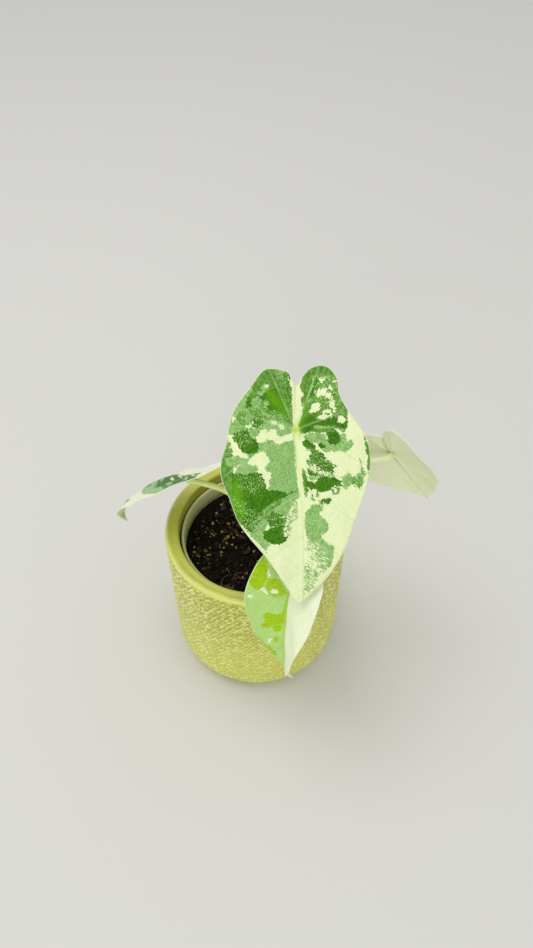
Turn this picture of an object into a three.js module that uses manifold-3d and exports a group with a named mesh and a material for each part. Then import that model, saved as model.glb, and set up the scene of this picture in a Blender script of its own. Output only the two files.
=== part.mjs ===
// A young variegated alocasia in a round glazed pot.
// Millimetres, +Z up. The origin is the centre of the pot's flat base, and -Y is the front.
//
// From the outside in: a thick ceramic cover pot with a netted relief, a thin plastic nursery
// pot that stands inside it, potting soil, and a short stem that stands in a plain hole in the
// soil. Four leaf stalks rise from the stem, and each carries one arrow-shaped blade.

import * as THREE from 'three';
import { mergeVertices } from 'three/addons/utils/BufferGeometryUtils.js';
import Module from 'manifold-3d';

const wasm = await Module();
wasm.setup();

// ---- driving sizes -------------------------------------------------------------------------

const GAP = 0.3;                 // room left between pieces that touch on the real plant

const POT_RADIUS = 49.4;         // outside of the side wall, midway between knots and hollows
const POT_HEIGHT = 101.7;
const POT_FOOT_ROUNDING = 13.5;  // the big soft edge between the base and the side
const POT_SHOULDER = 2.6;        // rounding of the rim's outer edge
const POT_MOUTH_RADIUS = 41.7;
const POT_LIP_ROUNDING = 1.3;    // rounding of the rim's inner edge
const POT_FLOOR = 8;             // thickness of the ceramic under the nursery pot
const POT_WELL_RADIUS = 40.6;    // inside radius just above the floor

const NET_COLUMNS = 72;          // relief knots and hollows round the pot, an even number
const NET_ROWS = 22;             // relief rows from the foot to the shoulder
const NET_DEPTH = 0.55;          // from the middle surface to a knot or a hollow

const NURSERY_TOP = 96;
const NURSERY_RIM_RADIUS = 40.9;
const NURSERY_WALL = 0.8;
const NURSERY_TOP_RADIUS = 40.2;
const NURSERY_BASE_RADIUS = 36;
const NURSERY_RIM_DROP = 3;
const NURSERY_SEGMENTS = 48;
const DRAIN_HOLES = 5;
const DRAIN_RADIUS = 1.8;
const DRAIN_RING = 20;           // distance of the drain holes from the middle

const SOIL_TOP = 86;
const SOIL_ROUGHNESS = 1.1;
const SOIL_RINGS = 9;
const SOIL_SECTORS = 40;
const SOIL_FIT = 0.36;           // room between the soil and the nursery pot's facets
const GRIT_COUNT = 46;

const STEM_CENTRE = new THREE.Vector2(7, 2);
const STEM_RADIUS = 6.6;
const STEM_TOP = 90.5;
const STEM_DEPTH = 24;           // how far the stem goes down into the soil
const STEM_SEGMENTS = 20;

const STALK_SOCKET = 3;          // how deep each stalk's foot sits in the stem's top
const STALK_FOOT_RADIUS = 1.9;
const STALK_TIP_RADIUS = 1.2;
const STALK_RING = 3.2;          // distance of the stalks' feet from the stem's axis
const STALK_KNEE_BACK = 3.5;     // how far behind its joint a stalk starts to turn into the blade
const STALK_SIDES = 8;
const STALK_STEPS = 24;

const BLADE_THICKNESS = 0.8;
const MIDRIB_RISE = 0.7;         // how far the midrib stands out under the blade
const BLADE_EDGE_POINTS = 26;    // along each side, from the notch to the tip
const BLADE_RINGS = 5;           // from the stalk's joint out to the edge

// ---- materials -----------------------------------------------------------------------------

function finish(color, roughness) {
  return new THREE.MeshStandardMaterial({ color, roughness, metalness: 0 });
}

const OLIVE_GLAZE = finish(0xa9ad4e, 0.28);
const MILKY_PLASTIC = finish(0xc9cabb, 0.5);
const DARK_SOIL = finish(0x1d140d, 0.95);
const BROWN_STEM = finish(0x6b5334, 0.8);
const PALE_STALK = finish(0xbccd6e, 0.45);
const GREEN_BLADE = finish(0x6f9f4a, 0.42);
const CREAM_BLADE = finish(0xdfe6c0, 0.45);
const LIME_BLADE = finish(0xb4d58a, 0.42);

// ---- small helpers -------------------------------------------------------------------------

const radians = THREE.MathUtils.degToRad;

/** A seeded random draw between 0 and 1, the same on every run. */
function seededRandom(seed) {
  let state = seed;
  return () => {
    state = (state * 1664525 + 1013904223) % 4294967296;
    return state / 4294967296;
  };
}

/** A closed mesh with shared corners, from a geometry class. */
function welded(geometry) {
  const bare = geometry.clone();
  bare.deleteAttribute('normal');
  bare.deleteAttribute('uv');
  return mergeVertices(bare.index ? bare.toNonIndexed() : bare, 1e-4);
}

function toSolid(geometry) {
  const mesh = welded(geometry);
  return new wasm.Manifold(new wasm.Mesh({
    numProp: 3,
    vertProperties: new Float32Array(mesh.attributes.position.array),
    triVerts: new Uint32Array(mesh.index.array),
  }));
}

function toGeometry(solid) {
  const { vertProperties, triVerts } = solid.getMesh();
  const geometry = new THREE.BufferGeometry();
  geometry.setAttribute('position', new THREE.BufferAttribute(new Float32Array(vertProperties), 3));
  geometry.setIndex(new THREE.BufferAttribute(new Uint32Array(triVerts), 1));
  return geometry;
}

/** A geometry from a list of Vector3 corners and a flat list of corner numbers. */
function fromCorners(corners, triangles) {
  const geometry = new THREE.BufferGeometry();
  const numbers = corners.flatMap((corner) => corner.toArray());
  geometry.setAttribute('position', new THREE.Float32BufferAttribute(numbers, 3));
  geometry.setIndex(triangles);
  return geometry;
}

/** A body turned about +Z from [radius, height] pairs that start and end on the axis. */
function turned(profile, segments) {
  const points = profile.map(([radius, height]) => new THREE.Vector2(radius, height));
  const geometry = new THREE.LatheGeometry(points, segments);
  geometry.rotateX(Math.PI / 2);
  return geometry;
}

/** Points [radius, height] on a quarter round about a centre, from an angle in degrees. */
function roundCorner([radius, height], rounding, fromAngle, steps) {
  return Array.from({ length: steps + 1 }, (_, i) => {
    const angle = radians(fromAngle + 90 * i / steps);
    return [radius + rounding * Math.cos(angle), height + rounding * Math.sin(angle)];
  });
}

/** A round bar along a curve, with a radius that may change on the way. */
function taperedBar(curve, radiusAt, sides, steps) {
  const frames = curve.computeFrenetFrames(steps, false);
  const corners = [];
  const triangles = [];
  for (let i = 0; i <= steps; i += 1) {
    const centre = curve.getPointAt(i / steps);
    for (let k = 0; k < sides; k += 1) {
      const angle = 2 * Math.PI * k / sides;
      const radius = radiusAt(i / steps);
      corners.push(centre.clone()
        .addScaledVector(frames.normals[i], radius * Math.cos(angle))
        .addScaledVector(frames.binormals[i], radius * Math.sin(angle)));
    }
  }
  for (let i = 0; i < steps; i += 1) {
    for (let k = 0; k < sides; k += 1) {
      const a = i * sides + k;
      const b = i * sides + (k + 1) % sides;
      triangles.push(a, b, a + sides, b, b + sides, a + sides);
    }
  }
  const last = steps * sides;
  for (let k = 1; k < sides - 1; k += 1) {
    triangles.push(0, k + 1, k, last, last + k, last + k + 1);
  }
  return fromCorners(corners, triangles);
}

// ---- cover pot -----------------------------------------------------------------------------

/** Profile of the ceramic pot: base, foot, netted side, rim, and down the inside. */
function potProfile() {
  const sideBottom = POT_FOOT_ROUNDING;
  const sideTop = POT_HEIGHT - POT_SHOULDER;
  const lipRadius = POT_MOUTH_RADIUS + POT_LIP_ROUNDING;
  const side = [];
  for (let row = 1; row < NET_ROWS; row += 1) {
    side.push([POT_RADIUS, THREE.MathUtils.lerp(sideBottom, sideTop, row / NET_ROWS)]);
  }
  return [
    [0, 0],
    ...roundCorner([POT_RADIUS - POT_FOOT_ROUNDING, sideBottom], POT_FOOT_ROUNDING, -90, 5),
    ...side,
    ...roundCorner([POT_RADIUS - POT_SHOULDER, sideTop], POT_SHOULDER, 0, 3),
    ...roundCorner([lipRadius, POT_HEIGHT - POT_LIP_ROUNDING], POT_LIP_ROUNDING, 90, 2),
    [POT_WELL_RADIUS, POT_FLOOR],
    [0, POT_FLOOR],
  ];
}

/** Knots and hollows in a staggered net: each column and row steps from one to the other. */
function pressNet(geometry) {
  const position = geometry.attributes.position;
  const corner = new THREE.Vector3();
  const rowHeight = (POT_HEIGHT - POT_SHOULDER - POT_FOOT_ROUNDING) / NET_ROWS;
  for (let i = 0; i < position.count; i += 1) {
    corner.fromBufferAttribute(position, i);
    const radius = Math.hypot(corner.x, corner.y);
    const onSide = Math.abs(radius - POT_RADIUS) < 0.01;
    const column = Math.round(Math.atan2(corner.y, corner.x) / (2 * Math.PI) * NET_COLUMNS);
    const row = Math.round((corner.z - POT_FOOT_ROUNDING) / rowHeight);
    if (onSide && row > 0 && row < NET_ROWS) {
      const lift = (column + row) % 2 === 0 ? NET_DEPTH : -NET_DEPTH;
      const scale = 1 + lift / radius;
      position.setXYZ(i, corner.x * scale, corner.y * scale, corner.z);
    }
  }
  return geometry;
}

function makePot() {
  return pressNet(welded(turned(potProfile(), NET_COLUMNS)));
}

// ---- nursery pot ---------------------------------------------------------------------------

/** Thin tapered plastic pot with a turned-out rim, open at the top, and drain holes in its base. */
function makeNurseryPot() {
  const base = POT_FLOOR + GAP;
  const innerTop = NURSERY_TOP_RADIUS - NURSERY_WALL;
  const shell = turned([
    [0, base],
    [NURSERY_BASE_RADIUS, base],
    [NURSERY_TOP_RADIUS, NURSERY_TOP - NURSERY_RIM_DROP],
    [NURSERY_RIM_RADIUS, NURSERY_TOP - NURSERY_RIM_DROP],
    [NURSERY_RIM_RADIUS, NURSERY_TOP],
    [innerTop, NURSERY_TOP],
    [NURSERY_BASE_RADIUS - NURSERY_WALL, base + NURSERY_WALL],
    [0, base + NURSERY_WALL],
  ], NURSERY_SEGMENTS);
  let solid = toSolid(shell);
  for (let i = 0; i < DRAIN_HOLES; i += 1) {
    const angle = 2 * Math.PI * i / DRAIN_HOLES;
    const drill = new THREE.CylinderGeometry(DRAIN_RADIUS, DRAIN_RADIUS, 4 * NURSERY_WALL, 10);
    drill.rotateX(Math.PI / 2);
    drill.translate(DRAIN_RING * Math.cos(angle), DRAIN_RING * Math.sin(angle), base);
    solid = solid.subtract(toSolid(drill));
  }
  return toGeometry(solid);
}

/** Inside radius of the nursery pot at a height. */
function nurseryInside(height) {
  const low = POT_FLOOR + GAP + NURSERY_WALL;
  const t = (height - low) / (NURSERY_TOP - low);
  return THREE.MathUtils.lerp(NURSERY_BASE_RADIUS, NURSERY_TOP_RADIUS, t) - NURSERY_WALL;
}

// ---- soil ----------------------------------------------------------------------------------

/** The soil's uneven top, as a height at a place. */
function soilHeight(x, y) {
  const swell = Math.sin(x * 0.21 + 1.3) * Math.cos(y * 0.17 - 0.6);
  const lumps = Math.sin(x * 0.83 + y * 0.41) * Math.cos(y * 0.71 - x * 0.29 + 0.8);
  return SOIL_TOP + SOIL_ROUGHNESS * (0.6 * swell + 0.4 * lumps);
}

/** A plug of soil that fills the nursery pot, with coarse grit in its top. */
function makeSoil(stem) {
  const bottom = POT_FLOOR + 2 * GAP + NURSERY_WALL;
  const topRadius = nurseryInside(SOIL_TOP) - SOIL_FIT;
  const bottomRadius = nurseryInside(bottom) - SOIL_FIT;
  const corners = [new THREE.Vector3(0, 0, soilHeight(0, 0))];
  const triangles = [];
  for (let ring = 1; ring <= SOIL_RINGS; ring += 1) {
    for (let k = 0; k < SOIL_SECTORS; k += 1) {
      const angle = 2 * Math.PI * (k + 0.5 * (ring % 2)) / SOIL_SECTORS;
      const x = topRadius * ring / SOIL_RINGS * Math.cos(angle);
      const y = topRadius * ring / SOIL_RINGS * Math.sin(angle);
      const height = ring === SOIL_RINGS ? SOIL_TOP : soilHeight(x, y);
      corners.push(new THREE.Vector3(x, y, height));
    }
  }
  const at = (ring, k) => 1 + (ring - 1) * SOIL_SECTORS + k % SOIL_SECTORS;
  for (let k = 0; k < SOIL_SECTORS; k += 1) {
    triangles.push(0, at(1, k), at(1, k + 1));
    for (let ring = 1; ring < SOIL_RINGS; ring += 1) {
      const turn = ring % 2;
      triangles.push(at(ring, k), at(ring + 1, k + turn), at(ring, k + 1));
      triangles.push(at(ring, k + 1), at(ring + 1, k + turn), at(ring + 1, k + 1 + turn));
    }
  }
  const lastRing = at(SOIL_RINGS, 0);
  const foot = corners.length;
  for (let k = 0; k < SOIL_SECTORS; k += 1) {
    const edge = corners[lastRing + k].clone().multiplyScalar(bottomRadius / topRadius);
    corners.push(edge.setZ(bottom));
  }
  const centre = corners.length;
  corners.push(new THREE.Vector3(0, 0, bottom));
  for (let k = 0; k < SOIL_SECTORS; k += 1) {
    const next = (k + 1) % SOIL_SECTORS;
    triangles.push(lastRing + k, foot + k, lastRing + next);
    triangles.push(lastRing + next, foot + k, foot + next);
    triangles.push(centre, foot + next, foot + k);
  }
  let soil = toSolid(fromCorners(corners, triangles));

  const random = seededRandom(20);
  for (let i = 0; i < GRIT_COUNT; i += 1) {
    const spread = (topRadius - 3) * Math.sqrt(random());
    const angle = 2 * Math.PI * random();
    const size = 0.9 + 0.9 * random();
    const x = spread * Math.cos(angle);
    const y = spread * Math.sin(angle);
    const clearOfStem = Math.hypot(x - STEM_CENTRE.x, y - STEM_CENTRE.y) > STEM_RADIUS + 3;
    if (clearOfStem) {
      const bit = new THREE.IcosahedronGeometry(size, 0);
      bit.scale(1.3, 1, 0.8);
      bit.rotateZ(Math.PI * random());
      bit.translate(x, y, soilHeight(x, y) + 0.1 * size);
      soil = soil.add(toSolid(bit));
    }
  }
  return toGeometry(soil.subtract(toSolid(stem)));
}

// ---- stem ----------------------------------------------------------------------------------

/** Short stem with a rounded foot, and one old leaf ring above the soil. */
function stemBody() {
  const bottom = SOIL_TOP - STEM_DEPTH;
  const geometry = turned([
    [0, bottom],
    [STEM_RADIUS * 0.6, bottom],
    [STEM_RADIUS * 0.92, bottom + 5],
    [STEM_RADIUS, SOIL_TOP - 6],
    [STEM_RADIUS, SOIL_TOP + 1.5],
    [STEM_RADIUS * 0.93, SOIL_TOP + 2.1],
    [STEM_RADIUS * 0.97, SOIL_TOP + 3.4],
    [STEM_RADIUS * 0.84, STEM_TOP - 0.5],
    [STEM_RADIUS * 0.7, STEM_TOP],
    [0, STEM_TOP],
  ], STEM_SEGMENTS);
  geometry.translate(STEM_CENTRE.x, STEM_CENTRE.y, 0);
  return geometry;
}

/** A plain hole for the stem, open at the soil's top. */
function stemHole() {
  const radius = STEM_RADIUS + GAP;
  const height = 2 * STEM_DEPTH;
  const hole = new THREE.CylinderGeometry(radius, radius, height, STEM_SEGMENTS);
  hole.rotateX(Math.PI / 2);
  hole.translate(STEM_CENTRE.x, STEM_CENTRE.y, SOIL_TOP - STEM_DEPTH - GAP + height / 2);
  return hole;
}

function makeStem(stalkGeometries) {
  let solid = toSolid(stemBody());
  for (const stalk of stalkGeometries) {
    solid = solid.subtract(toSolid(stalk));
  }
  return toGeometry(solid);
}

// ---- blades --------------------------------------------------------------------------------

/** Where a walk of a given length ends, that starts at an angle and turns steadily per mm. */
function arcWalk(length, startAngle, turnPerMm) {
  const turn = radians(turnPerMm);
  if (Math.abs(turn) < 1e-9) {
    const ahead = length * Math.cos(startAngle);
    const aside = length * Math.sin(startAngle);
    return { ahead, aside, angle: startAngle };
  }
  const angle = startAngle + turn * length;
  return {
    ahead: (Math.sin(angle) - Math.sin(startAngle)) / turn,
    aside: (Math.cos(startAngle) - Math.cos(angle)) / turn,
    angle,
  };
}

/**
 * The bent middle surface of a blade. u runs across it from the midrib, and v along the midrib
 * from the stalk's joint: positive to the tip, negative back into the lobes.
 */
function bladeSurface(leaf) {
  const along = leaf.along.clone().normalize();
  const face = leaf.face.clone().addScaledVector(along, -leaf.face.dot(along)).normalize();
  const across = new THREE.Vector3().crossVectors(face, along);

  const midrib = (v) => {
    if (v <= 0) {
      return arcWalk(v, 0, leaf.lobeBend);
    }
    const first = arcWalk(Math.min(v, leaf.curlFrom), 0, leaf.bend);
    const second = arcWalk(Math.max(v - leaf.curlFrom, 0), first.angle, leaf.curl);
    const ahead = first.ahead + second.ahead;
    const aside = first.aside + second.aside;
    return { ahead, aside, angle: second.angle };
  };

  return (u, v) => {
    const spine = midrib(v);
    const fold = radians(u > 0 ? leaf.foldRight : leaf.foldLeft);
    const half = arcWalk(Math.abs(u), fold, -leaf.roll);
    const twist = radians(leaf.twist) * Math.max(v, 0);
    const side = Math.sign(u) * half.ahead;
    const sideways = side * Math.cos(twist) - half.aside * Math.sin(twist);
    const upwards = side * Math.sin(twist) + half.aside * Math.cos(twist);
    const up = along.clone().multiplyScalar(Math.sin(spine.angle))
      .addScaledVector(face, Math.cos(spine.angle));
    return leaf.joint.clone()
      .addScaledVector(along, spine.ahead)
      .addScaledVector(face, -spine.aside)
      .addScaledVector(across, sideways)
      .addScaledVector(up, upwards);
  };
}

/** The way up, square to a blade's middle surface. On the midrib it is midway between its halves. */
function bladeNormal(surface, u, v) {
  const reach = 0.05;
  const onMidrib = Math.abs(u) < reach;
  const right = surface(onMidrib || u > 0 ? u + reach : u, v);
  const left = surface(onMidrib || u < 0 ? u - reach : u, v);
  const stepAlong = surface(u, v + reach).sub(surface(u, v - reach));
  return stepAlong.cross(right.sub(left)).normalize();
}

/** Evenly spaced [u, v] points along the edge, round from the notch to the tip and back. */
function bladeEdge(leaf) {
  const spaced = (edge) => {
    const points = edge.map(([u, v]) => new THREE.Vector2(u, v));
    return new THREE.SplineCurve(points).getSpacedPoints(BLADE_EDGE_POINTS);
  };
  const right = spaced(leaf.rightEdge);
  const left = spaced(leaf.leftEdge).reverse();
  return [...right, ...left.slice(1, -1)];
}

/** A thin waved blade, split alike on both faces, with the midrib raised underneath. */
function makeBlade(leaf) {
  const surface = bladeSurface(leaf);
  const edge = bladeEdge(leaf);
  const count = edge.length;
  const spots = [{ u: 0, v: 0, out: 0, rib: 1 }];
  for (let ring = 1; ring <= BLADE_RINGS; ring += 1) {
    edge.forEach((point, k) => {
      const out = ring / BLADE_RINGS;
      const rib = k === BLADE_EDGE_POINTS ? 1 - out : 0;
      spots.push({ u: point.x * out, v: point.y * out, out, rib, k });
    });
  }

  const corner = ({ u, v, out, k = 0 }, lift) => {
    const phase = 2 * Math.PI * leaf.waves * k / count + leaf.waveStart;
    const wave = leaf.waveHeight * Math.sin(phase) * out ** 3;
    return surface(u, v).addScaledVector(bladeNormal(surface, u, v), wave + lift);
  };
  const upper = spots.map((spot) => corner(spot, BLADE_THICKNESS / 2));
  const lower = spots.map((spot) => corner(spot, -BLADE_THICKNESS / 2 - MIDRIB_RISE * spot.rib));

  const at = (ring, k) => 1 + (ring - 1) * count + k % count;
  const faces = [];
  for (let k = 0; k < count; k += 1) {
    faces.push([0, at(1, k), at(1, k + 1)]);
    for (let ring = 1; ring < BLADE_RINGS; ring += 1) {
      faces.push([at(ring, k), at(ring + 1, k), at(ring + 1, k + 1)]);
      faces.push([at(ring, k), at(ring + 1, k + 1), at(ring, k + 1)]);
    }
  }
  const below = spots.length;
  const triangles = [];
  for (const [a, b, c] of faces) {
    triangles.push(a, c, b, below + a, below + b, below + c);
  }
  for (let k = 0; k < count; k += 1) {
    const a = at(BLADE_RINGS, k);
    const b = at(BLADE_RINGS, k + 1);
    triangles.push(a, b, below + b, a, below + b, below + a);
  }
  return fromCorners([...upper, ...lower], triangles);
}

/** The plain arrow shape of a small blade, as [u, v] shares of its length from joint to tip. */
const ARROW_SIDE = [
  [0, -0.23], [0.03, -0.27], [0.075, -0.31], [0.13, -0.33], [0.18, -0.32], [0.23, -0.26],
  [0.28, -0.17], [0.34, -0.07], [0.375, 0.04], [0.395, 0.15], [0.385, 0.27], [0.35, 0.4],
  [0.29, 0.54], [0.21, 0.69], [0.13, 0.83], [0.05, 0.94], [0, 1],
];

/** Both edges of a plain blade: its length and width, and how long its two lobes are. */
function arrowEdges(length, width, leftLobe = 1, rightLobe = 1) {
  const edge = (side, lobe) => ARROW_SIDE.map(([u, v]) => [
    side * u * length * width,
    v * length * (v < 0 ? lobe : 1),
  ]);
  const leftEdge = edge(-1, leftLobe);
  const rightEdge = edge(1, rightLobe);
  rightEdge[0] = leftEdge[0];
  return { leftEdge, rightEdge };
}

const V = (x, y, z) => new THREE.Vector3(x, y, z);

/**
 * Each blade's place and form. joint is where its stalk meets it, along runs from there down the
 * midrib, and face is the way its upper side looks. Bends, curls and rolls are degrees per mm,
 * folds are degrees, and the waves run round the edge. stalk lists the way points of its stalk,
 * foot the side of the stem it rises from, and knee how deep the stalk hangs below the joint.
 */
const LEAVES = [
  {
    name: 'main',
    material: GREEN_BLADE,
    joint: V(19.5, 0.3, 175.8),
    along: V(0.027, -0.816, -0.577),
    face: V(-0.045, -0.578, 0.815),
    lobeBend: 0.1,
    bend: 0.13,
    curlFrom: 62,
    curl: 0.35,
    foldLeft: 9,
    foldRight: 9,
    roll: 0.42,
    twist: 0,
    waves: 11,
    waveHeight: 0.7,
    waveStart: 0.4,
    leftEdge: [
      [0.5, -21], [-1.4, -24.3], [-2.6, -27.6], [-6, -28.9], [-10.2, -29.4], [-14.5, -28.3],
      [-20.3, -21.3], [-25.8, -14.6], [-30, -6.5], [-32.5, 5], [-35.2, 14], [-35, 22],
      [-32, 30.5], [-28.5, 40.5], [-23, 49.3], [-13.5, 61.5], [-6.5, 73], [-2.8, 79.6],
      [-0.4, 81.6],
    ],
    rightEdge: [
      [0.5, -21], [2.4, -21.6], [4.6, -25.4], [8.2, -29], [13, -30.3], [17.2, -28.4],
      [20.3, -22.8], [20.9, -16.2], [24, -9.8], [29, -1.6], [32.8, 5], [34.4, 14],
      [33.3, 23], [30.4, 32], [26.6, 42], [21.4, 55], [14.4, 66.8], [6.5, 75],
      [2.6, 78.6], [-0.4, 81.6],
    ],
    stalk: [V(8, 6, 112), V(12.5, 8.5, 140)],
    knee: 4,
    foot: [0, 1],
  },
  {
    name: 'left',
    material: LIME_BLADE,
    joint: V(-36.1, 8.2, 131.3),
    along: V(-0.895, 0.059, -0.442),
    face: V(-0.347, 0.532, 0.772),
    lobeBend: -0.25,
    bend: 0.33,
    curlFrom: 43.7,
    curl: 9.8,
    foldLeft: 0,
    foldRight: 11,
    roll: 0.35,
    twist: -0.27,
    waves: 9,
    waveHeight: 0.35,
    waveStart: 3,
    ...arrowEdges(54.6, 0.95, 1.5, 1.6),
    stalk: [V(1, 2.5, 106), V(-15, 3.5, 126.5)],
    knee: 1.6,
    foot: [-1, 0],
  },
  {
    name: 'right',
    material: CREAM_BLADE,
    joint: V(71.3, 18.2, 140.3),
    along: V(0.506, 0.155, -0.848),
    face: V(0.131, 0.959, 0.253),
    lobeBend: -1.1,
    bend: 0,
    curlFrom: 44.5,
    curl: 0.26,
    foldLeft: -13.9,
    foldRight: -3.4,
    roll: 1.13,
    twist: 0,
    waves: 9,
    waveHeight: 0.5,
    waveStart: 1.5,
    ...arrowEdges(55.6, 1, 1.1, 1),
    stalk: [V(16, 3, 112), V(42, 7.5, 139)],
    knee: 4,
    foot: [1, 0],
  },
  {
    name: 'front',
    material: LIME_BLADE,
    joint: V(18.5, -45.1, 119.9),
    along: V(-0.194, -0.639, -0.744),
    face: V(-0.481, -0.599, 0.64),
    lobeBend: 0,
    bend: 0.68,
    curlFrom: 47.8,
    curl: 0.91,
    foldLeft: 42,
    foldRight: 20.6,
    roll: 0.386,
    twist: 0.86,
    waves: 9,
    waveHeight: 0.4,
    waveStart: 2.4,
    ...arrowEdges(68.3, 0.8),
    stalk: [V(8.5, -9, 106), V(13.5, -27, 120)],
    knee: 3,
    foot: [0, -1],
  },
];

// ---- stalks --------------------------------------------------------------------------------

/** Path of a stalk: up out of its socket, along its way points, and up against the midrib. */
function stalkPath(leaf) {
  const [footX, footY] = leaf.foot;
  const footHeight = STEM_TOP - STALK_SOCKET;
  const foot = V(STALK_RING * footX, STALK_RING * footY, footHeight);
  foot.add(V(STEM_CENTRE.x, STEM_CENTRE.y, 0));
  const clearOfStem = foot.clone().setZ(STEM_TOP + 3);

  const along = leaf.along.clone().normalize();
  const face = leaf.face.clone().addScaledVector(along, -leaf.face.dot(along)).normalize();
  const lean = Math.atan2(STALK_KNEE_BACK, leaf.knee);
  const tipEdge = STALK_TIP_RADIUS * Math.sin(lean);
  const below = BLADE_THICKNESS / 2 + MIDRIB_RISE + GAP + tipEdge;
  const end = leaf.joint.clone().addScaledVector(face, -below);
  const knee = end.clone()
    .addScaledVector(face, -leaf.knee)
    .addScaledVector(along, -STALK_KNEE_BACK);
  const points = [foot, clearOfStem, ...leaf.stalk, knee, end];
  return new THREE.CatmullRomCurve3(points, false, 'centripetal');
}

/** A stalk, fatter by the amount grow on every side. */
function makeStalk(leaf, grow) {
  const radiusAt = (t) => {
    const sheath = Math.max(0, 1 - t / 0.3);
    return THREE.MathUtils.lerp(STALK_TIP_RADIUS, STALK_FOOT_RADIUS, sheath ** 0.7) + grow;
  };
  return taperedBar(stalkPath(leaf), radiusAt, STALK_SIDES, STALK_STEPS);
}

// ---- the whole plant -----------------------------------------------------------------------

const plant = new THREE.Group();

function place(name, geometry, material) {
  const mesh = new THREE.Mesh(geometry, material);
  mesh.name = name;
  plant.add(mesh);
}

place('pot', makePot(), OLIVE_GLAZE);
place('nursery_pot', makeNurseryPot(), MILKY_PLASTIC);
place('soil', makeSoil(stemHole()), DARK_SOIL);
place('stem', makeStem(LEAVES.map((leaf) => makeStalk(leaf, GAP))), BROWN_STEM);
for (const leaf of LEAVES) {
  place(`stalk_${leaf.name}`, makeStalk(leaf, 0), PALE_STALK);
  place(`leaf_${leaf.name}`, makeBlade(leaf), leaf.material);
}

export default plant;
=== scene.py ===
# A young variegated alocasia in a glazed pot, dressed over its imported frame, in metres, +Z up.
# It is put together as it was potted: cover pot, nursery pot, soil, stem, stalks and blades.

import math
import random

import bmesh
import bpy
import numpy as np
from mathutils import Matrix, Vector, noise


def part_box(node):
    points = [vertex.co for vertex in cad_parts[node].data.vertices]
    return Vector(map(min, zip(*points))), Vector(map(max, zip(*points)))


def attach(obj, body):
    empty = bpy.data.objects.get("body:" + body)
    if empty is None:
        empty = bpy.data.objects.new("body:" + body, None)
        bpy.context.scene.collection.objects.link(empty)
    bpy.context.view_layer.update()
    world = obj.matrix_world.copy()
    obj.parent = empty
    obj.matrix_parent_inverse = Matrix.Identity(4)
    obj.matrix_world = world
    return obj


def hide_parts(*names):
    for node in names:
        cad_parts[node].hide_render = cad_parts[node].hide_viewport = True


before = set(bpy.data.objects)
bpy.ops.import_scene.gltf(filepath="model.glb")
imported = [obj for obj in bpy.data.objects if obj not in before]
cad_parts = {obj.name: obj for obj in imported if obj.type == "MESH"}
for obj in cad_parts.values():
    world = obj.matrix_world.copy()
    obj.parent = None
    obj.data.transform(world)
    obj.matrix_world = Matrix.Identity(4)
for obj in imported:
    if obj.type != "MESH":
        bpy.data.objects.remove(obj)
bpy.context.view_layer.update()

MM = 0.001


# ---- cover pot -------------------------------------------------------------------------------
# A slip-cast stoneware pot with a netted relief pressed into its side. It is dipped in an
# olive-lime glaze, which runs thin and pale over the knots and pools darker in the hollows.
# Painted light is laid into its colour too: a highlight on the knots and round the rim's outer
# edge, and shade that deepens the pools towards the rim, the rim towards the mouth, and the
# inner wall.

def srgb(red, green, blue):
    """A colour given as screen values from 0 to 255."""
    def linear(value):
        share = value / 255
        return share / 12.92 if share <= 0.04045 else ((share + 0.055) / 1.055) ** 2.4
    return linear(red), linear(green), linear(blue), 1.0


POT_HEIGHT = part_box("pot")[1].z
POT_RADIUS = 49.4 * MM
FOOT_ROUNDING = 13.5 * MM
SHOULDER = 2.6 * MM                  # the rounding from the wall up to the rim
RIM_DIP = 0.35 * MM                  # how far the top of the rim is dished
RIM_DIP_RADIUS = 44.6 * MM
MOUTH_RADIUS = 41.7 * MM
MOUTH_DROP = 0.2 * MM                # the mouth's edge lies this much lower than the rim
LIP_ROUNDING = 1.3 * MM
POT_FLOOR = 8 * MM
WELL_RADIUS = 40.6 * MM
BARE_FOOT_HEIGHT = 0.25 * MM

KNOT_COLUMNS = 112
KNOT_ROWS = 47
KNOT_STEPS = 4                       # mesh steps across one knot, and one fewer up it
KNOT_HEIGHT = 0.62 * MM
KNOT_STRAY = 0.3                     # how far a knot strays, as a share of its own cell
KNOT_LEAN = 0.8
KNOT_FALL = 2.0, 2.05                # how fast a knot falls off, across and up its cell
KNOT_DOME = 0.6                      # the lower, the blunter a knot is
KNOT_LOWEST = 0.66                   # the lowest knots, as a share of the highest
ROW_WAVES = 7                        # the rows rise and fall this often on the way round
ROW_WANDER = 0.35                    # and this far, as a share of a row
NET_LEVEL = 0.4                      # the relief that lies level with the plain wall
NET_START = 3 * MM                   # the net fades in from this height up
NET_FADE = 7 * MM
NET_END = 1.5 * MM                   # and has faded out this far below the rim
NET_END_FADE = 1.2 * MM

GLAZE_BODY = srgb(208, 211, 92), srgb(220, 222, 112)
# Pooled glaze in the hollows, with painted shade that makes it darker higher up the wall.
GLAZE_POOLED_AND_SHADED = srgb(192, 195, 74), srgb(162, 165, 44)
POOL_SHADE_SPAN = 30 * MM, 84 * MM             # painted shade in the pools, from the paler ones low down to the darker ones under the rim
# Thin glaze over the knots, with a painted highlight on them.
GLAZE_THIN_AND_HIGHLIGHT = srgb(240, 242, 176)
GLAZE_SPECK = srgb(140, 138, 52)
# The rim's glaze, with painted shade that darkens it towards the mouth.
RIM_GLAZE_AND_SHADE = srgb(186, 188, 74), srgb(202, 204, 84)
RIM_SHADE_SPAN = 43 * MM, 48 * MM                # painted shade, from the darker inner side to the lighter outer side
RIM_WORN = srgb(178, 168, 92)
RIM_WORN_RING = (44.6 * MM, 46 * MM), (47.2 * MM, 48.4 * MM)
# A painted highlight in a thin line round the rim's outer edge.
RIM_HIGHLIGHT = srgb(226, 232, 156)
RIM_HIGHLIGHT_RING = (47.8 * MM, 48.3 * MM), (48.6 * MM, 49 * MM)
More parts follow.
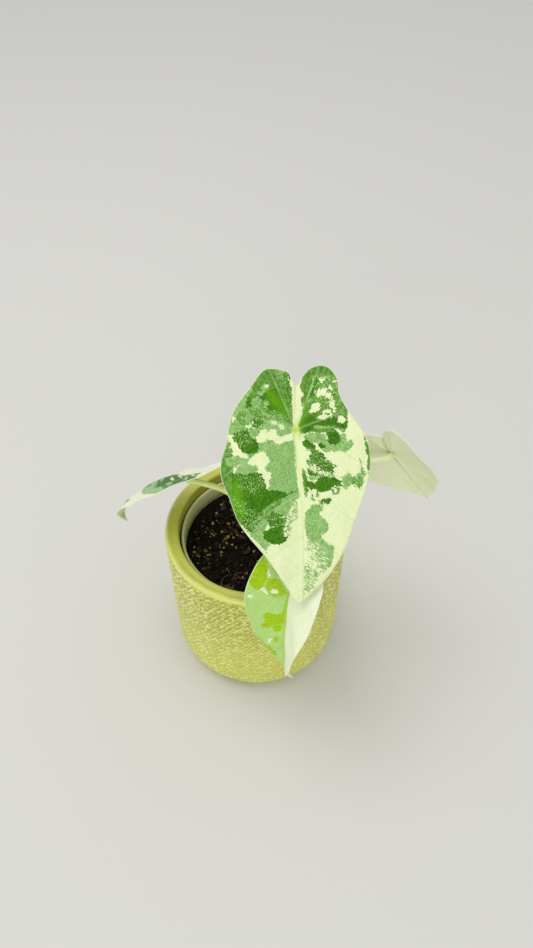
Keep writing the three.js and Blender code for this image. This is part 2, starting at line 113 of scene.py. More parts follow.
# Painted shade on the inner wall of the mouth.
INNER_WALL_SHADE = srgb(160, 161, 50)
BARE_CLAY = srgb(196, 186, 164)


def quarter_round(centre_radius, centre_height, rounding, start, steps):
    """Points (radius, height) along a quarter circle, from an angle in degrees."""
    points = []
    for step in range(steps + 1):
        angle = math.radians(start + 90 * step / steps)
        points.append((centre_radius + rounding * math.cos(angle),
                       centre_height + rounding * math.sin(angle)))
    return points


def spun(profile, steps):
    """A closed turned body, from a profile that starts and ends on the axis."""
    bm = bmesh.new()
    corners = [bm.verts.new((radius, 0, height)) for radius, height in profile]
    edges = [bm.edges.new(pair) for pair in zip(corners, corners[1:])]
    bmesh.ops.spin(bm, geom=corners + edges, cent=(0, 0, 0), axis=(0, 0, 1), dvec=(0, 0, 0),
                   angle=2 * math.pi, steps=steps, use_merge=True)
    bmesh.ops.remove_doubles(bm, verts=bm.verts, dist=1e-6)
    bmesh.ops.recalc_face_normals(bm, faces=bm.faces)
    return bm


def finished(name, bm, *materials):
    """The bmesh as a smooth object at the origin, with its materials."""
    for face in bm.faces:
        face.smooth = True
    mesh = bpy.data.meshes.new(name)
    bm.to_mesh(mesh)
    bm.free()
    for material in materials:
        mesh.materials.append(material)
    piece = bpy.data.objects.new(name, mesh)
    bpy.context.scene.collection.objects.link(piece)
    return piece


def part_of_plant(piece, slot, *nodes):
    """The piece stands for these nodes of the frame, and moves with its one body."""
    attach(piece, "root")
    if nodes:
        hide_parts(*nodes)


def knot_relief(angle, height):
    """0 in the hollows of the net and about 1 on a knot, in staggered rows of uneven knots."""
    wander = ROW_WANDER * math.sin(ROW_WAVES * angle)
    row_place = height / (POT_HEIGHT - SHOULDER) * KNOT_ROWS + wander
    row = math.floor(row_place)
    column_place = angle / (2 * math.pi) * KNOT_COLUMNS + 0.5 * (row % 2)
    column = math.floor(column_place) % KNOT_COLUMNS
    own = noise.cell(Vector((column + 0.5, row + 0.5, 3.5)))
    lean = noise.cell(Vector((column + 0.5, row + 0.5, 9.5))) - 0.5
    across = column_place - math.floor(column_place) - 0.5 + KNOT_STRAY * lean
    up = row_place - row - 0.5 + KNOT_LEAN * lean * across + KNOT_STRAY * (own - 0.5)
    fall = (KNOT_FALL[0] * across) ** 2 + (KNOT_FALL[1] * up) ** 2
    return (KNOT_LOWEST + (1 - KNOT_LOWEST) * own) * max(0.0, 1 - fall) ** KNOT_DOME


def pot_profile():
    """From the middle of the foot, up the wall, over the rim and down to the pot's floor."""
    side_top = POT_HEIGHT - SHOULDER
    side_steps = round(KNOT_ROWS * (1 - FOOT_ROUNDING / side_top) * (KNOT_STEPS - 1))
    side = [(POT_RADIUS, FOOT_ROUNDING + (side_top - FOOT_ROUNDING) * step / side_steps)
            for step in range(1, side_steps)]
    dip = POT_HEIGHT - RIM_DIP
    return [
        (0, 0),
        (POT_RADIUS - FOOT_ROUNDING - 1 * MM, 0),
        *quarter_round(POT_RADIUS - FOOT_ROUNDING, FOOT_ROUNDING, FOOT_ROUNDING,
                       start=-90, steps=28),
        *side,
        *quarter_round(POT_RADIUS - SHOULDER, side_top, SHOULDER, start=0, steps=8),
        (RIM_DIP_RADIUS + 1 * MM, dip + 0.12 * MM),
        (RIM_DIP_RADIUS, dip),
        (RIM_DIP_RADIUS - 0.8 * MM, dip + 0.1 * MM),
        *quarter_round(MOUTH_RADIUS + LIP_ROUNDING, POT_HEIGHT - LIP_ROUNDING - MOUTH_DROP,
                       LIP_ROUNDING, start=90, steps=6),
        (WELL_RADIUS + 0.5 * MM, POT_HEIGHT / 2),
        (WELL_RADIUS, POT_FLOOR + 2 * MM),
        (WELL_RADIUS - 2 * MM, POT_FLOOR),
        (0, POT_FLOOR),
    ]


def press_net(bm):
    """Raises the knots out of the wall, and keeps their height for the glaze."""
    knot = bm.verts.layers.float.new("knot")
    bm.normal_update()
    for corner in bm.verts:
        radius = math.hypot(corner.co.x, corner.co.y)
        height = corner.co.z
        on_wall = radius > WELL_RADIUS + 3 * MM
        on_foot = height < FOOT_ROUNDING and radius > POT_RADIUS - FOOT_ROUNDING
        lower = min(1, max(0, (height - NET_START) / NET_FADE))
        upper = min(1, max(0, (POT_HEIGHT - NET_END - height) / NET_END_FADE))
        shown = lower * upper if on_wall or on_foot else 0
        relief = knot_relief(math.atan2(corner.co.y, corner.co.x) % (2 * math.pi), height)
        corner.co += corner.normal * (relief - NET_LEVEL) * KNOT_HEIGHT * shown
        corner[knot] = relief * shown + NET_LEVEL * (1 - shown)


def nodes_of(name):
    """A new node material: its tree, its Principled shader's inputs and the material itself."""
    material = bpy.data.materials.new(name)
    material.use_nodes = True
    return material.node_tree, material.node_tree.nodes["Principled BSDF"].inputs, material


def wire(tree, sockets, values):
    """Links or sets a node's inputs, by name or number."""
    for name, value in values.items():
        if isinstance(value, bpy.types.NodeSocket):
            tree.links.new(value, sockets[name])
        else:
            sockets[name].default_value = value


def add(tree, kind, inputs, output=0, **settings):
    """One node with its settings, its inputs by name or number, and its chosen output."""
    made = tree.nodes.new(kind)
    for name, value in settings.items():
        setattr(made, name, value)
    wire(tree, made.inputs, inputs)
    return made.outputs[output]


def calc(tree, operation, *values):
    return add(tree, "ShaderNodeMath", dict(enumerate(values)), operation=operation)


def times(tree, first, second):
    return calc(tree, "MULTIPLY", first, second)


def blend(tree, share, first, second):
    """From the first colour to the second."""
    return add(tree, "ShaderNodeMix", {0: share, 6: first, 7: second}, 2, data_type="RGBA")


def fade(tree, value, low, high, start=0.0, end=1.0):
    """Goes smoothly from start to end, as the value goes from low to high."""
    return add(tree, "ShaderNodeMapRange", {0: value, 1: low, 2: high, 3: start, 4: end},
               interpolation_type="SMOOTHSTEP")


def band(tree, value, ring, strength=1.0):
    """A soft stripe that comes up over the ring's first span and goes down over its second."""
    rising, falling = ring
    return times(tree, fade(tree, value, *rising),
                 fade(tree, value, falling[1], falling[0], 0, strength))


def grains(tree, place, scale, detail=3.0, roughness=0.55):
    """Cloudy noise from 0 to 1. Its scale is how many clouds lie along one unit of place."""
    return add(tree, "ShaderNodeTexNoise",
               {"Vector": place, "Scale": scale, "Detail": detail, "Roughness": roughness})


def stored(tree, name, output="Fac"):
    """A value or vector that the mesh itself holds."""
    return add(tree, "ShaderNodeAttribute", {}, output, attribute_name=name)


def object_place(tree):
    return add(tree, "ShaderNodeTexCoord", {}, "Object")


def axis_of(tree, vector, axis):
    """One coordinate of a vector: 0, 1 or 2."""
    return add(tree, "ShaderNodeSeparateXYZ", {"Vector": vector}, axis)


def flat_length(tree, vector):
    """The length of a vector's first two coordinates."""
    flat = add(tree, "ShaderNodeVectorMath", {0: vector, 1: (1, 1, 0)}, operation="MULTIPLY")
    return add(tree, "ShaderNodeVectorMath", {0: flat}, "Value", operation="LENGTH")


def bumped(tree, height, distance, strength=1.0):
    return add(tree, "ShaderNodeBump",
               {"Height": height, "Distance": distance, "Strength": strength})


def wall_glaze(tree, place, height, body):
    """The glaze on the net: pooled in the hollows and thin over the knots, with dark specks.
    The pools carry painted shade that deepens towards the rim, and the knots a painted highlight.
    """
    knot = stored(tree, "knot")
    pooled_and_shaded = blend(tree, fade(tree, height, *POOL_SHADE_SPAN), *GLAZE_POOLED_AND_SHADED)
    colour = blend(tree, fade(tree, knot, 0.0, 0.35), pooled_and_shaded, body)
    # The knots' tops take the thin glaze, with a painted highlight.
    colour = blend(tree, fade(tree, knot, 0.42, 0.9, 0, 0.8), colour, GLAZE_THIN_AND_HIGHLIGHT)
    specks = grains(tree, place, 900, 2)
    return blend(tree, fade(tree, specks, 0.62, 0.74, 0, 0.25), colour, GLAZE_SPECK)


def rim_glaze(tree, place, radius):
    """The glaze on top of the rim, with painted shade that darkens it towards the mouth, and a brownish
    ring where it has worn.
    """
    colour = blend(tree, fade(tree, radius, *RIM_SHADE_SPAN), *RIM_GLAZE_AND_SHADE)
    patchy = fade(tree, grains(tree, place, 70, 3), 0.35, 0.6, 0, 0.6)
    worn = times(tree, band(tree, radius, RIM_WORN_RING), patchy)
    return blend(tree, worn, colour, RIM_WORN)


def olive_glaze():
    tree, shader, material = nodes_of("olive_lime_glaze")
    place = object_place(tree)
    height = axis_of(tree, place, 2)
    radius = flat_length(tree, place)
    drift = grains(tree, place, 38, 4)
    body = blend(tree, fade(tree, drift, 0.3, 0.7), *GLAZE_BODY)
    colour = wall_glaze(tree, place, height, body)
    on_rim = fade(tree, height, POT_HEIGHT - 1.6 * MM, POT_HEIGHT - 0.9 * MM)
    colour = blend(tree, on_rim, colour, rim_glaze(tree, place, radius))
    # A painted highlight in a thin line round the rim's outer edge.
    near_rim = fade(tree, height, POT_HEIGHT - 2.4 * MM, POT_HEIGHT - 1.8 * MM)
    edge = times(tree, band(tree, radius, RIM_HIGHLIGHT_RING, 0.5), near_rim)
    colour = blend(tree, edge, colour, RIM_HIGHLIGHT)
    # Painted shade on the inner wall of the mouth.
    inside = fade(tree, radius, RIM_SHADE_SPAN[0], RIM_SHADE_SPAN[0] - 1 * MM)
    colour = blend(tree, inside, colour, INNER_WALL_SHADE)
    dipped = fade(tree, height, 0.2 * BARE_FOOT_HEIGHT, BARE_FOOT_HEIGHT)
    wire(tree, shader, {
        "Base Color": blend(tree, dipped, BARE_CLAY, colour),
        "Roughness": fade(tree, drift, 0.2, 0.8, 0.26, 0.4),
        "Coat Weight": 0.2,
        "Coat Roughness": 0.12,
        "Normal": bumped(tree, grains(tree, place, 420, 3), 0.12 * MM, 0.6)})
    return material


def make_pot():
    bm = spun(pot_profile(), steps=KNOT_COLUMNS * KNOT_STEPS)
    press_net(bm)
    pot = finished("glazed_cover_pot", bm, olive_glaze())
    part_of_plant(pot, "glazed_pot", "pot")


make_pot()


# ---- nursery pot -----------------------------------------------------------------------------
# The thin pot the plant was grown in: milky, slightly see-through plastic, blown in one piece
# with a turned-out rim and drain holes in its base. It stands loose inside the cover pot.

NURSERY_LOW, NURSERY_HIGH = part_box("nursery_pot")
NURSERY_WALL = 0.8 * MM
NURSERY_TOP_RADIUS = 40.2 * MM
NURSERY_BASE_RADIUS = 36 * MM
NURSERY_RIM_DROP = 3 * MM
DRAIN_HOLES = 5
DRAIN_RADIUS = 1.8 * MM
DRAIN_RING = 20 * MM

PLASTIC = srgb(198, 200, 142)
# Painted shade on the wall, darkening towards the soil.
LOW_WALL_SHADE = srgb(96, 86, 50)
LOW_WALL_SHADE_SPAN = 92 * MM, 85 * MM        # painted shade, from where it starts down to where it is darkest, by the soil


def nursery_profile():
    """From the middle of the base, up the outside, over the turned-out rim and back inside."""
    base = NURSERY_LOW.z
    top = NURSERY_HIGH.z
    rim = NURSERY_HIGH.x
    inner = NURSERY_TOP_RADIUS - NURSERY_WALL
    return [
        (0, base),
        (NURSERY_BASE_RADIUS - NURSERY_WALL, base),
        (NURSERY_BASE_RADIUS, base + NURSERY_WALL),
        (NURSERY_TOP_RADIUS, top - NURSERY_RIM_DROP),
        (rim - 0.15 * MM, top - NURSERY_RIM_DROP),
        (rim, top - NURSERY_RIM_DROP + 0.15 * MM),
        (rim, top - 0.5 * MM),
        (rim - 0.2 * MM, top - 0.12 * MM),
        (rim - 0.6 * MM, top),
        (inner + 0.3 * MM, top - 0.08 * MM),
        (inner, top - 0.45 * MM),
        (inner - 0.1 * MM, top - NURSERY_RIM_DROP),
        (NURSERY_BASE_RADIUS - NURSERY_WALL, base + 2 * NURSERY_WALL),
        (NURSERY_BASE_RADIUS - 2 * NURSERY_WALL, base + NURSERY_WALL),
        (0, base + NURSERY_WALL),
    ]


def cut(piece, cutter_bm):
    """Takes the closed shape of a bmesh out of a piece."""
    cutter = finished("cutter", cutter_bm)
    step = piece.modifiers.new("cut", "BOOLEAN")
    step.operation = "DIFFERENCE"
    step.object = cutter
    step.solver = "EXACT"
    depsgraph = bpy.context.evaluated_depsgraph_get()
    mesh = bpy.data.meshes.new_from_object(piece.evaluated_get(depsgraph))
    piece.modifiers.clear()
    piece.data = mesh
    bpy.data.objects.remove(cutter)


def milky_plastic():
    tree, shader, material = nodes_of("milky_plastic")
    place = object_place(tree)
    blotches = grains(tree, place, 240, 4, 0.7)
    # Painted shade that darkens the wall towards the soil, broken into blotches.
    near_soil = fade(tree, axis_of(tree, place, 2), *LOW_WALL_SHADE_SPAN)
    low_wall_shade = times(tree, near_soil, fade(tree, blotches, 0.3, 0.62, 0.3, 1))
    wire(tree, shader, {
        "Base Color": blend(tree, low_wall_shade, PLASTIC, LOW_WALL_SHADE),
        "Roughness": fade(tree, blotches, 0.3, 0.7, 0.32, 0.5),
        "Subsurface Weight": 0.3,
        "Subsurface Radius": (1, 1, 0.8),
        "Subsurface Scale": 1.2 * MM,
        "Normal": bumped(tree, grains(tree, place, 600), 0.03 * MM)})
    return material


def make_nursery_pot():
    piece = finished("grown_in_pot", spun(nursery_profile(), steps=160), milky_plastic())
    drills = bmesh.new()
    for hole in range(DRAIN_HOLES):
        angle = 2 * math.pi * hole / DRAIN_HOLES
        spot = (DRAIN_RING * math.cos(angle), DRAIN_RING * math.sin(angle), NURSERY_LOW.z)
        bmesh.ops.create_cone(drills, cap_ends=True, segments=24, radius1=DRAIN_RADIUS,
                              radius2=DRAIN_RADIUS, depth=6 * NURSERY_WALL,
                              matrix=Matrix.Translation(spot))
    cut(piece, drills)
    part_of_plant(piece, "nursery_plastic", "nursery_pot")


make_nursery_pot()


# ---- soil ------------------------------------------------------------------------------------
# Moist, near-black potting mix of peat and bark crumbs, with tan grit and a few brown fibres.
# It fills the nursery pot to a finger's breadth below the rim, with a plain hole for the stem.

SOIL_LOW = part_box("soil")[0]
SOIL_TOP = 86 * MM
SOIL_ROUGHNESS = 1.1 * MM
SOIL_CRUMBLE = 0.55 * MM
SOIL_SUNK = 2.0 * MM                 # at the back wall, where watering has washed it down
SOIL_TOP_RADIUS = 38.6 * MM
SOIL_BASE_RADIUS = 34.9 * MM
SOIL_RINGS = 60
STEM_PLACE = Vector((7 * MM, 2 * MM, 0))
STEM_RADIUS = 6.6 * MM
STEM_FIT = 0.3 * MM
STEM_HOLE_DEPTH = 24 * MM + STEM_FIT

PEAT_TONES = [(0.006, 0.005, 0.003), (0.010, 0.008, 0.005), (0.018, 0.012, 0.007)]
BARK_TONES = [(0.055, 0.032, 0.014), (0.030, 0.019, 0.009), (0.10, 0.055, 0.022)]
GRIT_TONES = [(0.42, 0.30, 0.11), (0.26, 0.19, 0.06), (0.52, 0.40, 0.18), (0.12, 0.11, 0.03)]
SOIL_SHADOW = srgb(8, 6, 3)

# The loose bits on the soil: peat crumbs, bark chips and grit. Sizes run from the smallest to
# the largest, in mm. Length is that of the longest bits, rise is how high a bit lies, and both
# are shares of its size, as its thickness is. Gathered is how likely a bit that falls elsewhere
# is to be thrown again, so that most of its kind ends up at the back left.
LITTER = [
    dict(count=2200, sizes=(0.6, 2.6), length=1.5, thickness=0.8, rise=0.15,
         tones=PEAT_TONES, gathered=0),
    dict(count=170, sizes=(1.0, 2.8), length=2.2, thickness=0.5, rise=0.3,
         tones=BARK_TONES, gathered=0),
    dict(count=150, sizes=(0.8, 2.1), length=1.4, thickness=0.8, rise=0.35,
         tones=GRIT_TONES, gathered=0.75),
]
GATHERED_LINE = 12 * MM              # the back left is where y - x is more than this
HANDFUL = 40

FIBRES = 16
FIBRES_IN_FRONT = 9
FIBRE_RADIUS = 0.22 * MM
FIBRE_STEPS = 14
FIBRE_TONES = [(0.34, 0.15, 0.05), (0.24, 0.12, 0.05), (0.40, 0.22, 0.10)]


def soil_height(x, y):
    """The soil's uneven top, with the frame's own swells and lumps, and sunk at the back."""
    wide, deep = x / MM, y / MM
    swell = math.sin(wide * 0.21 + 1.3) * math.cos(deep * 0.17 - 0.6)
    lumps = math.sin(wide * 0.83 + deep * 0.41) * math.cos(deep * 0.71 - wide * 0.29 + 0.8)
    sunk = SOIL_SUNK * max(0, y / SOIL_TOP_RADIUS) ** 1.4
    return SOIL_TOP + SOIL_ROUGHNESS * (0.6 * swell + 0.4 * lumps) - sunk


def soil_body():
    """A turned plug, whose top is then raised and lowered into crumbly ground."""
    rings = [(SOIL_TOP_RADIUS * ring / SOIL_RINGS, SOIL_TOP) for ring in range(SOIL_RINGS, 0, -1)]
    bm = spun([(0, SOIL_LOW.z), (SOIL_BASE_RADIUS - 1 * MM, SOIL_LOW.z),
               (SOIL_BASE_RADIUS, SOIL_LOW.z + 1 * MM), *rings, (0, SOIL_TOP)], steps=200)
    for corner in bm.verts:
        reach = math.hypot(corner.co.x, corner.co.y) / SOIL_TOP_RADIUS
        if corner.co.z > SOIL_TOP - 1e-6:
            crumbly = noise.fractal(corner.co * 700, 0.6, 2.2, 4) * SOIL_CRUMBLE
            uneven = soil_height(corner.co.x, corner.co.y) - SOIL_TOP
            corner.co.z += (uneven + crumbly) * min(1, 8 * (1 - reach))
    return bm


def potting_mix():
    """Each corner of a mesh holds its own tone, with darker clouds over it."""
    tree, shader, material = nodes_of("potting_mix")
    cloud = grains(tree, object_place(tree), 1500, 4, 0.7)
    shadow = fade(tree, cloud, 0.3, 0.75, 0.0, 0.55)
    wire(tree, shader, {
        "Base Color": blend(tree, shadow, stored(tree, "tone", "Color"), SOIL_SHADOW),
        "Roughness": fade(tree, cloud, 0.2, 0.8, 0.6, 0.9),
        "Specular IOR Level": 0.12,
        "Normal": bumped(tree, cloud, 0.35 * MM)})
    return material


def make_potting_soil(material):
    bm = soil_body()
    tone = bm.verts.layers.float_color.new("tone")
    for corner in bm.verts:
        corner[tone] = (*PEAT_TONES[0], 1)
    soil = finished("potting_soil", bm, material)

    hole = bmesh.new()
    radius = STEM_RADIUS + STEM_FIT
    above = 10 * MM                  # how far the cutter stands out of the soil
    middle = STEM_PLACE + Vector((0, 0, SOIL_TOP - STEM_HOLE_DEPTH / 2 + above / 2))
    bmesh.ops.create_cone(hole, cap_ends=True, segments=40, radius1=radius, radius2=radius,
                          depth=STEM_HOLE_DEPTH + above, matrix=Matrix.Translation(middle))
    cut(soil, hole)
    part_of_plant(soil, "potting_soil", "soil")


def scatter(rng, margin):
    """A random spot on the soil, clear of the stem and the wall."""
    while True:
        x = rng.uniform(-1, 1) * (SOIL_TOP_RADIUS - margin)
        y = rng.uniform(-1, 1) * (SOIL_TOP_RADIUS - margin)
        from_stem = (Vector((x, y, 0)) - STEM_PLACE).length
        if math.hypot(x, y) < SOIL_TOP_RADIUS - margin and from_stem > STEM_RADIUS + margin:
            return Vector((x, y, soil_height(x, y)))


def add_lump(bm, tone, rng, kind):
    """One broken bit of litter, turned and tipped at random."""
    size = rng.uniform(*kind["sizes"]) * MM
    length = size * rng.uniform(1, kind["length"])
    shape = Matrix.Diagonal((length, size, size * kind["thickness"], 1))
    turn = Matrix.Rotation(rng.uniform(0, 2 * math.pi), 4, "Z")
    tip = Matrix.Rotation(rng.uniform(-0.5, 0.5), 4, "X")
    margin = 1.6 * size + 0.5 * MM
    spot = scatter(rng, margin)
    thrown_again = kind["gathered"]
    while thrown_again and rng.random() < thrown_again and spot.y - spot.x < GATHERED_LINE:
        spot = scatter(rng, margin)
    spot.z += kind["rise"] * size
    place = Matrix.Translation(spot) @ turn @ tip @ shape
    lump = bmesh.ops.create_icosphere(bm, subdivisions=1, radius=0.5, matrix=place)
    colour = Vector(rng.choice(kind["tones"])) * rng.uniform(0.75, 1.25)
    for corner in lump["verts"]:
        corner.co += Vector([rng.uniform(-0.12, 0.12) * size for _ in range(3)])
        corner[tone] = (*colour, 1)


def make_litter(rng, material):
    """Laid down a handful at a time, because a large bmesh takes long over each new bit."""
    loose = bmesh.new()
    loose.verts.layers.float_color.new("tone")
    for kind in LITTER:
        for start in range(0, kind["count"], HANDFUL):
            few = bmesh.new()
            tone = few.verts.layers.float_color.new("tone")
            for _ in range(min(HANDFUL, kind["count"] - start)):
                add_lump(few, tone, rng, kind)
            mesh = bpy.data.meshes.new("handful")
            few.to_mesh(mesh)
            few.free()
            loose.from_mesh(mesh)
            bpy.data.meshes.remove(mesh)
    part_of_plant(finished("soil_crumbs", loose, material), "potting_soil")


def fibre_curve(rng, start, heading, length):
    """A thin curled root fibre that arches over the soil and tapers to its end."""
    curve = bpy.data.curves.new("fibre", "CURVE")
    curve.dimensions = "3D"
    curve.bevel_depth = FIBRE_RADIUS
    curve.bevel_resolution = 1
    line = curve.splines.new("POLY")
    line.points.add(FIBRE_STEPS - 1)
    spot = start.copy()
    for number, point in enumerate(line.points):
        share = number / (FIBRE_STEPS - 1)
        height = soil_height(spot.x, spot.y) + (0.5 + 2.2 * math.sin(math.pi * share)) * MM
        point.co = (spot.x, spot.y, height, 1)
        point.radius = 1 - 0.7 * share
        heading += rng.uniform(-0.35, 0.45)
        spot += Vector((math.cos(heading), math.sin(heading), 0)) * length / FIBRE_STEPS
    return curve


def make_fibres(rng, material):
    """The first few lie together at the front left, and the rest anywhere on the soil."""
    strands = bmesh.new()
    tone = strands.verts.layers.float_color.new("tone")
    for number in range(FIBRES):
        start = scatter(rng, 6 * MM)
        if number < FIBRES_IN_FRONT:
            start = Vector((rng.uniform(-22, -11) * MM, rng.uniform(-32, -27) * MM, 0))
        curve = fibre_curve(rng, start, rng.uniform(0, 6.3), rng.uniform(5, 10) * MM)
        tube = bpy.data.objects.new("fibre", curve)
        bpy.context.scene.collection.objects.link(tube)
        first = len(strands.verts)
        strands.from_mesh(tube.to_mesh())
        strands.verts.ensure_lookup_table()
        colour = Vector(rng.choice(FIBRE_TONES)) * rng.uniform(0.7, 1.1)
        for corner in strands.verts[first:]:
            corner[tone] = (*colour, 1)
        bpy.data.objects.remove(tube)
        bpy.data.curves.remove(curve)
    bmesh.ops.remove_doubles(strands, verts=strands.verts, dist=1e-6)
    part_of_plant(finished("root_fibres", strands, material), "potting_soil")


soil_material = potting_mix()
soil_rng = random.Random(31)
make_potting_soil(soil_material)
make_litter(soil_rng, soil_material)
make_fibres(soil_rng, soil_material)


# ---- stem ------------------------------------------------------------------------------------
# The short corky stem, ringed by old leaf scars and greener near its top. It stands in its hole
# in the soil, and the feet of the four leaf stalks are set a few millimetres into its top.

STEM_LOW, STEM_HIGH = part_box("stem")
STEM_ROUNDING = 12 * MM              # the height of its rounded lower end
STEM_SCAR = 0.035                    # depth of a scar, as a share of the radius
STEM_SCAR_WAVE = 1.35                # in radians for each mm, so the scars are 2.3 mm apart
STEM_NECK = 0.14                     # how much narrower the top is, as a share of the radius

CORK = srgb(74, 54, 34), srgb(150, 124, 82)
GREEN_BARK = srgb(150, 164, 88)
GREEN_BARK_SPAN = 88.5 * MM, 91 * MM


def corky_skin():
    tree, shader, material = nodes_of("corky_skin")
    place = object_place(tree)
    squashed = add(tree, "ShaderNodeMapping", {"Vector": place, "Scale": (1, 1, 3.5)})
    bands = grains(tree, squashed, 420, 5, 0.65)
    cork = blend(tree, fade(tree, bands, 0.3, 0.7), *CORK)
    fresh = fade(tree, axis_of(tree, place, 2), *GREEN_BARK_SPAN, 0, 0.7)
    wire(tree, shader, {
        "Base Color": blend(tree, fresh, cork, GREEN_BARK),
        "Roughness": fade(tree, bands, 0.2, 0.8, 0.55, 0.85),
        "Normal": bumped(tree, bands, 0.5 * MM)})
    return material


def stem_profile():
    """From its lower end, up past the scars, to its flat top."""
    low, high = STEM_LOW.z, STEM_HIGH.z
    profile = [(0, low), (0.45 * STEM_RADIUS, low), (0.75 * STEM_RADIUS, low + 1.5 * MM),
               (0.92 * STEM_RADIUS, low + 5 * MM), (0.99 * STEM_RADIUS, low + STEM_ROUNDING)]
    ringed = high - 0.6 * MM - low - STEM_ROUNDING
    for step in range(25):
        height = low + STEM_ROUNDING + ringed * step / 24
        scar = STEM_SCAR * abs(math.sin(height / MM * STEM_SCAR_WAVE))
        neck = STEM_NECK * max(0, (height - SOIL_TOP) / (high - SOIL_TOP))
        profile.append(((0.985 - scar - neck) * STEM_RADIUS, height))
    return [*profile, (0.74 * STEM_RADIUS, high - 0.15 * MM), (0.6 * STEM_RADIUS, high), (0, high)]


def make_stem():
    bm = spun(stem_profile(), steps=72)
    for corner in bm.verts:
        out = Vector((corner.co.x, corner.co.y, 0))
        corner.co -= out * 0.05 * (0.5 + 0.5 * noise.noise(corner.co * 260))
        corner.co += STEM_PLACE
    part_of_plant(finished("corky_stem", bm, corky_skin()), "stem_bark", "stem")


make_stem()


# ---- leaf stalks -----------------------------------------------------------------------------
# Smooth, juicy, pale yellow-green stalks. Each clasps the stem with a wider foot, leans out,
# and turns up into its blade through a slightly thicker knee.

BLADE_THICKNESS = 0.8 * MM           # the frame's blade, on whose midrib the stalk's tip rests
MIDRIB_RISE = 0.7 * MM
STALK_FOOT_RADIUS = 1.9 * MM
STALK_TIP_RADIUS = 1.2 * MM
STALK_RING = 3.2 * MM                # from the stem's middle to the middle of a socket
STALK_SOCKET = 3 * MM                # the depth of the frame's sockets in the stem's top
STALK_SOCKET_ROOM = 0.2 * MM         # below its foot
STALK_CLEAR = 3 * MM                 # it rises straight for this far above the stem
STALK_KNEE_BACK = 3.5 * MM
STALK_KNEE_SWELL = 0.12
STALK_SHEATH = 0.3                   # how much of its length the wider foot takes
STALK_TOUCH = 0.35 * MM              # how far the soft tip sinks into the midrib
STALK_STEPS = 110
STALK_SIDES = 24

STALK_TONES = srgb(220, 231, 142), srgb(232, 240, 168)
STALK_FOOT_TONE = srgb(214, 206, 160)
STALK_TIP_TONE = srgb(190, 210, 104)
STALK_CREAM = srgb(234, 237, 202)
STALK_CREAM_SPAN = 38 * MM, 62 * MM  # to the right, where the cream leaf's own stalk runs
STALK_STREAK = srgb(150, 172, 84)


def place_mm(x, y, z):
    return Vector((x, y, z)) * MM


# Each leaf is set out from its joint, where the stalk meets the blade.
# along, face            the way its midrib leaves the joint, and the way its upper side looks
# lobe_bend, bend, curl  how fast it turns down, in degrees per mm: behind the joint, ahead of
#                        it, and from curl_from mm on
# folds                  how steeply its left and right halves rise from the midrib, in degrees
# roll, twist            how fast they bend down again, and turn round the midrib, in degrees
#                        per mm
# waves                  how many run round the edge, wave_height mm high, and in radians how
#                        far the first has risen at the notch: wave_start
# stalk, knee            places that its stalk passes, and how far below the joint it turns up
# foot, stout            the side of the stem it stands on, and how much thicker its top is
# drift                  how far the midrib sways to the right, in mm
LEAVES = {
    "main": dict(
        joint=place_mm(19.5, 0.3, 175.8), along=(0.027, -0.816, -0.577),
        face=(-0.045, -0.578, 0.815), lobe_bend=0.1, bend=0.13, curl_from=62, curl=0.35,
        folds=(9, 9), roll=0.42, twist=0, waves=11, wave_height=0.7, wave_start=0.4,
        stalk=[place_mm(8, 6, 112), place_mm(12.5, 8.5, 140)], knee=4 * MM, foot=(0, 1),
        stout=1, drift=2.2),
    "left": dict(
        joint=place_mm(-36.1, 8.2, 131.3), along=(-0.895, 0.059, -0.442),
        face=(-0.347, 0.532, 0.772), lobe_bend=-0.25, bend=0.33, curl_from=39.3, curl=8.3,
        folds=(0, 11), roll=0.35, twist=-0.27, waves=9, wave_height=0.35, wave_start=3,
        stalk=[place_mm(1, 2.5, 106), place_mm(-15, 3.5, 126.5)], knee=1.6 * MM, foot=(-1, 0),
        stout=1.3, drift=0),
    "right": dict(
        joint=place_mm(71.3, 18.2, 140.3), along=(0.506, 0.155, -0.848),
        face=(0.131, 0.959, 0.253), lobe_bend=-1.1, bend=0, curl_from=44.5, curl=0.26,
        folds=(-13.9, -3.4), roll=1.13, twist=0, waves=9, wave_height=0.5, wave_start=1.5,
        stalk=[place_mm(16, 3, 112), place_mm(42, 7.5, 139)], knee=4 * MM, foot=(1, 0),
        stout=1.25, drift=0),
    "front": dict(
        joint=place_mm(18.5, -45.1, 119.9), along=(-0.194, -0.639, -0.744),
        face=(-0.481, -0.599, 0.64), lobe_bend=0, bend=0.68, curl_from=47.8, curl=0.91,
        folds=(42, 20.6), roll=0.386, twist=0.86, waves=9, wave_height=0.4, wave_start=2.4,
        stalk=[place_mm(8.5, -9, 106), place_mm(13.5, -27, 120)], knee=3 * MM, foot=(0, -1),
        stout=1, drift=0),
}


def blade_axes(leaf):
    """Along the midrib, across the blade and out of its face, square to each other."""
    along = Vector(leaf["along"]).normalized()
    face = Vector(leaf["face"])
    face = (face - along * face.dot(along)).normalized()
    return along, face.cross(along), face


def curve_piece(start, end, leave, arrive, steps):
    """Places on a curve from the start until just before the end, which it leaves and reaches
    in the given directions."""
    places = []
    for step in range(steps):
        t = step / steps
        places.append((2 * t ** 3 - 3 * t ** 2 + 1) * start + (t ** 3 - 2 * t ** 2 + t) * leave
                      + (3 * t ** 2 - 2 * t ** 3) * end + (t ** 3 - t ** 2) * arrive)
    return places


def evenly_spaced(places, steps):
    """The same line, as evenly spaced places."""
    table = np.array(places)
    lengths = np.concatenate([[0], np.cumsum(np.linalg.norm(np.diff(table, axis=0), axis=1))])
    wanted = np.linspace(0, lengths[-1], steps + 1)
    return np.stack([np.interp(wanted, lengths, column) for column in table.T], 1)


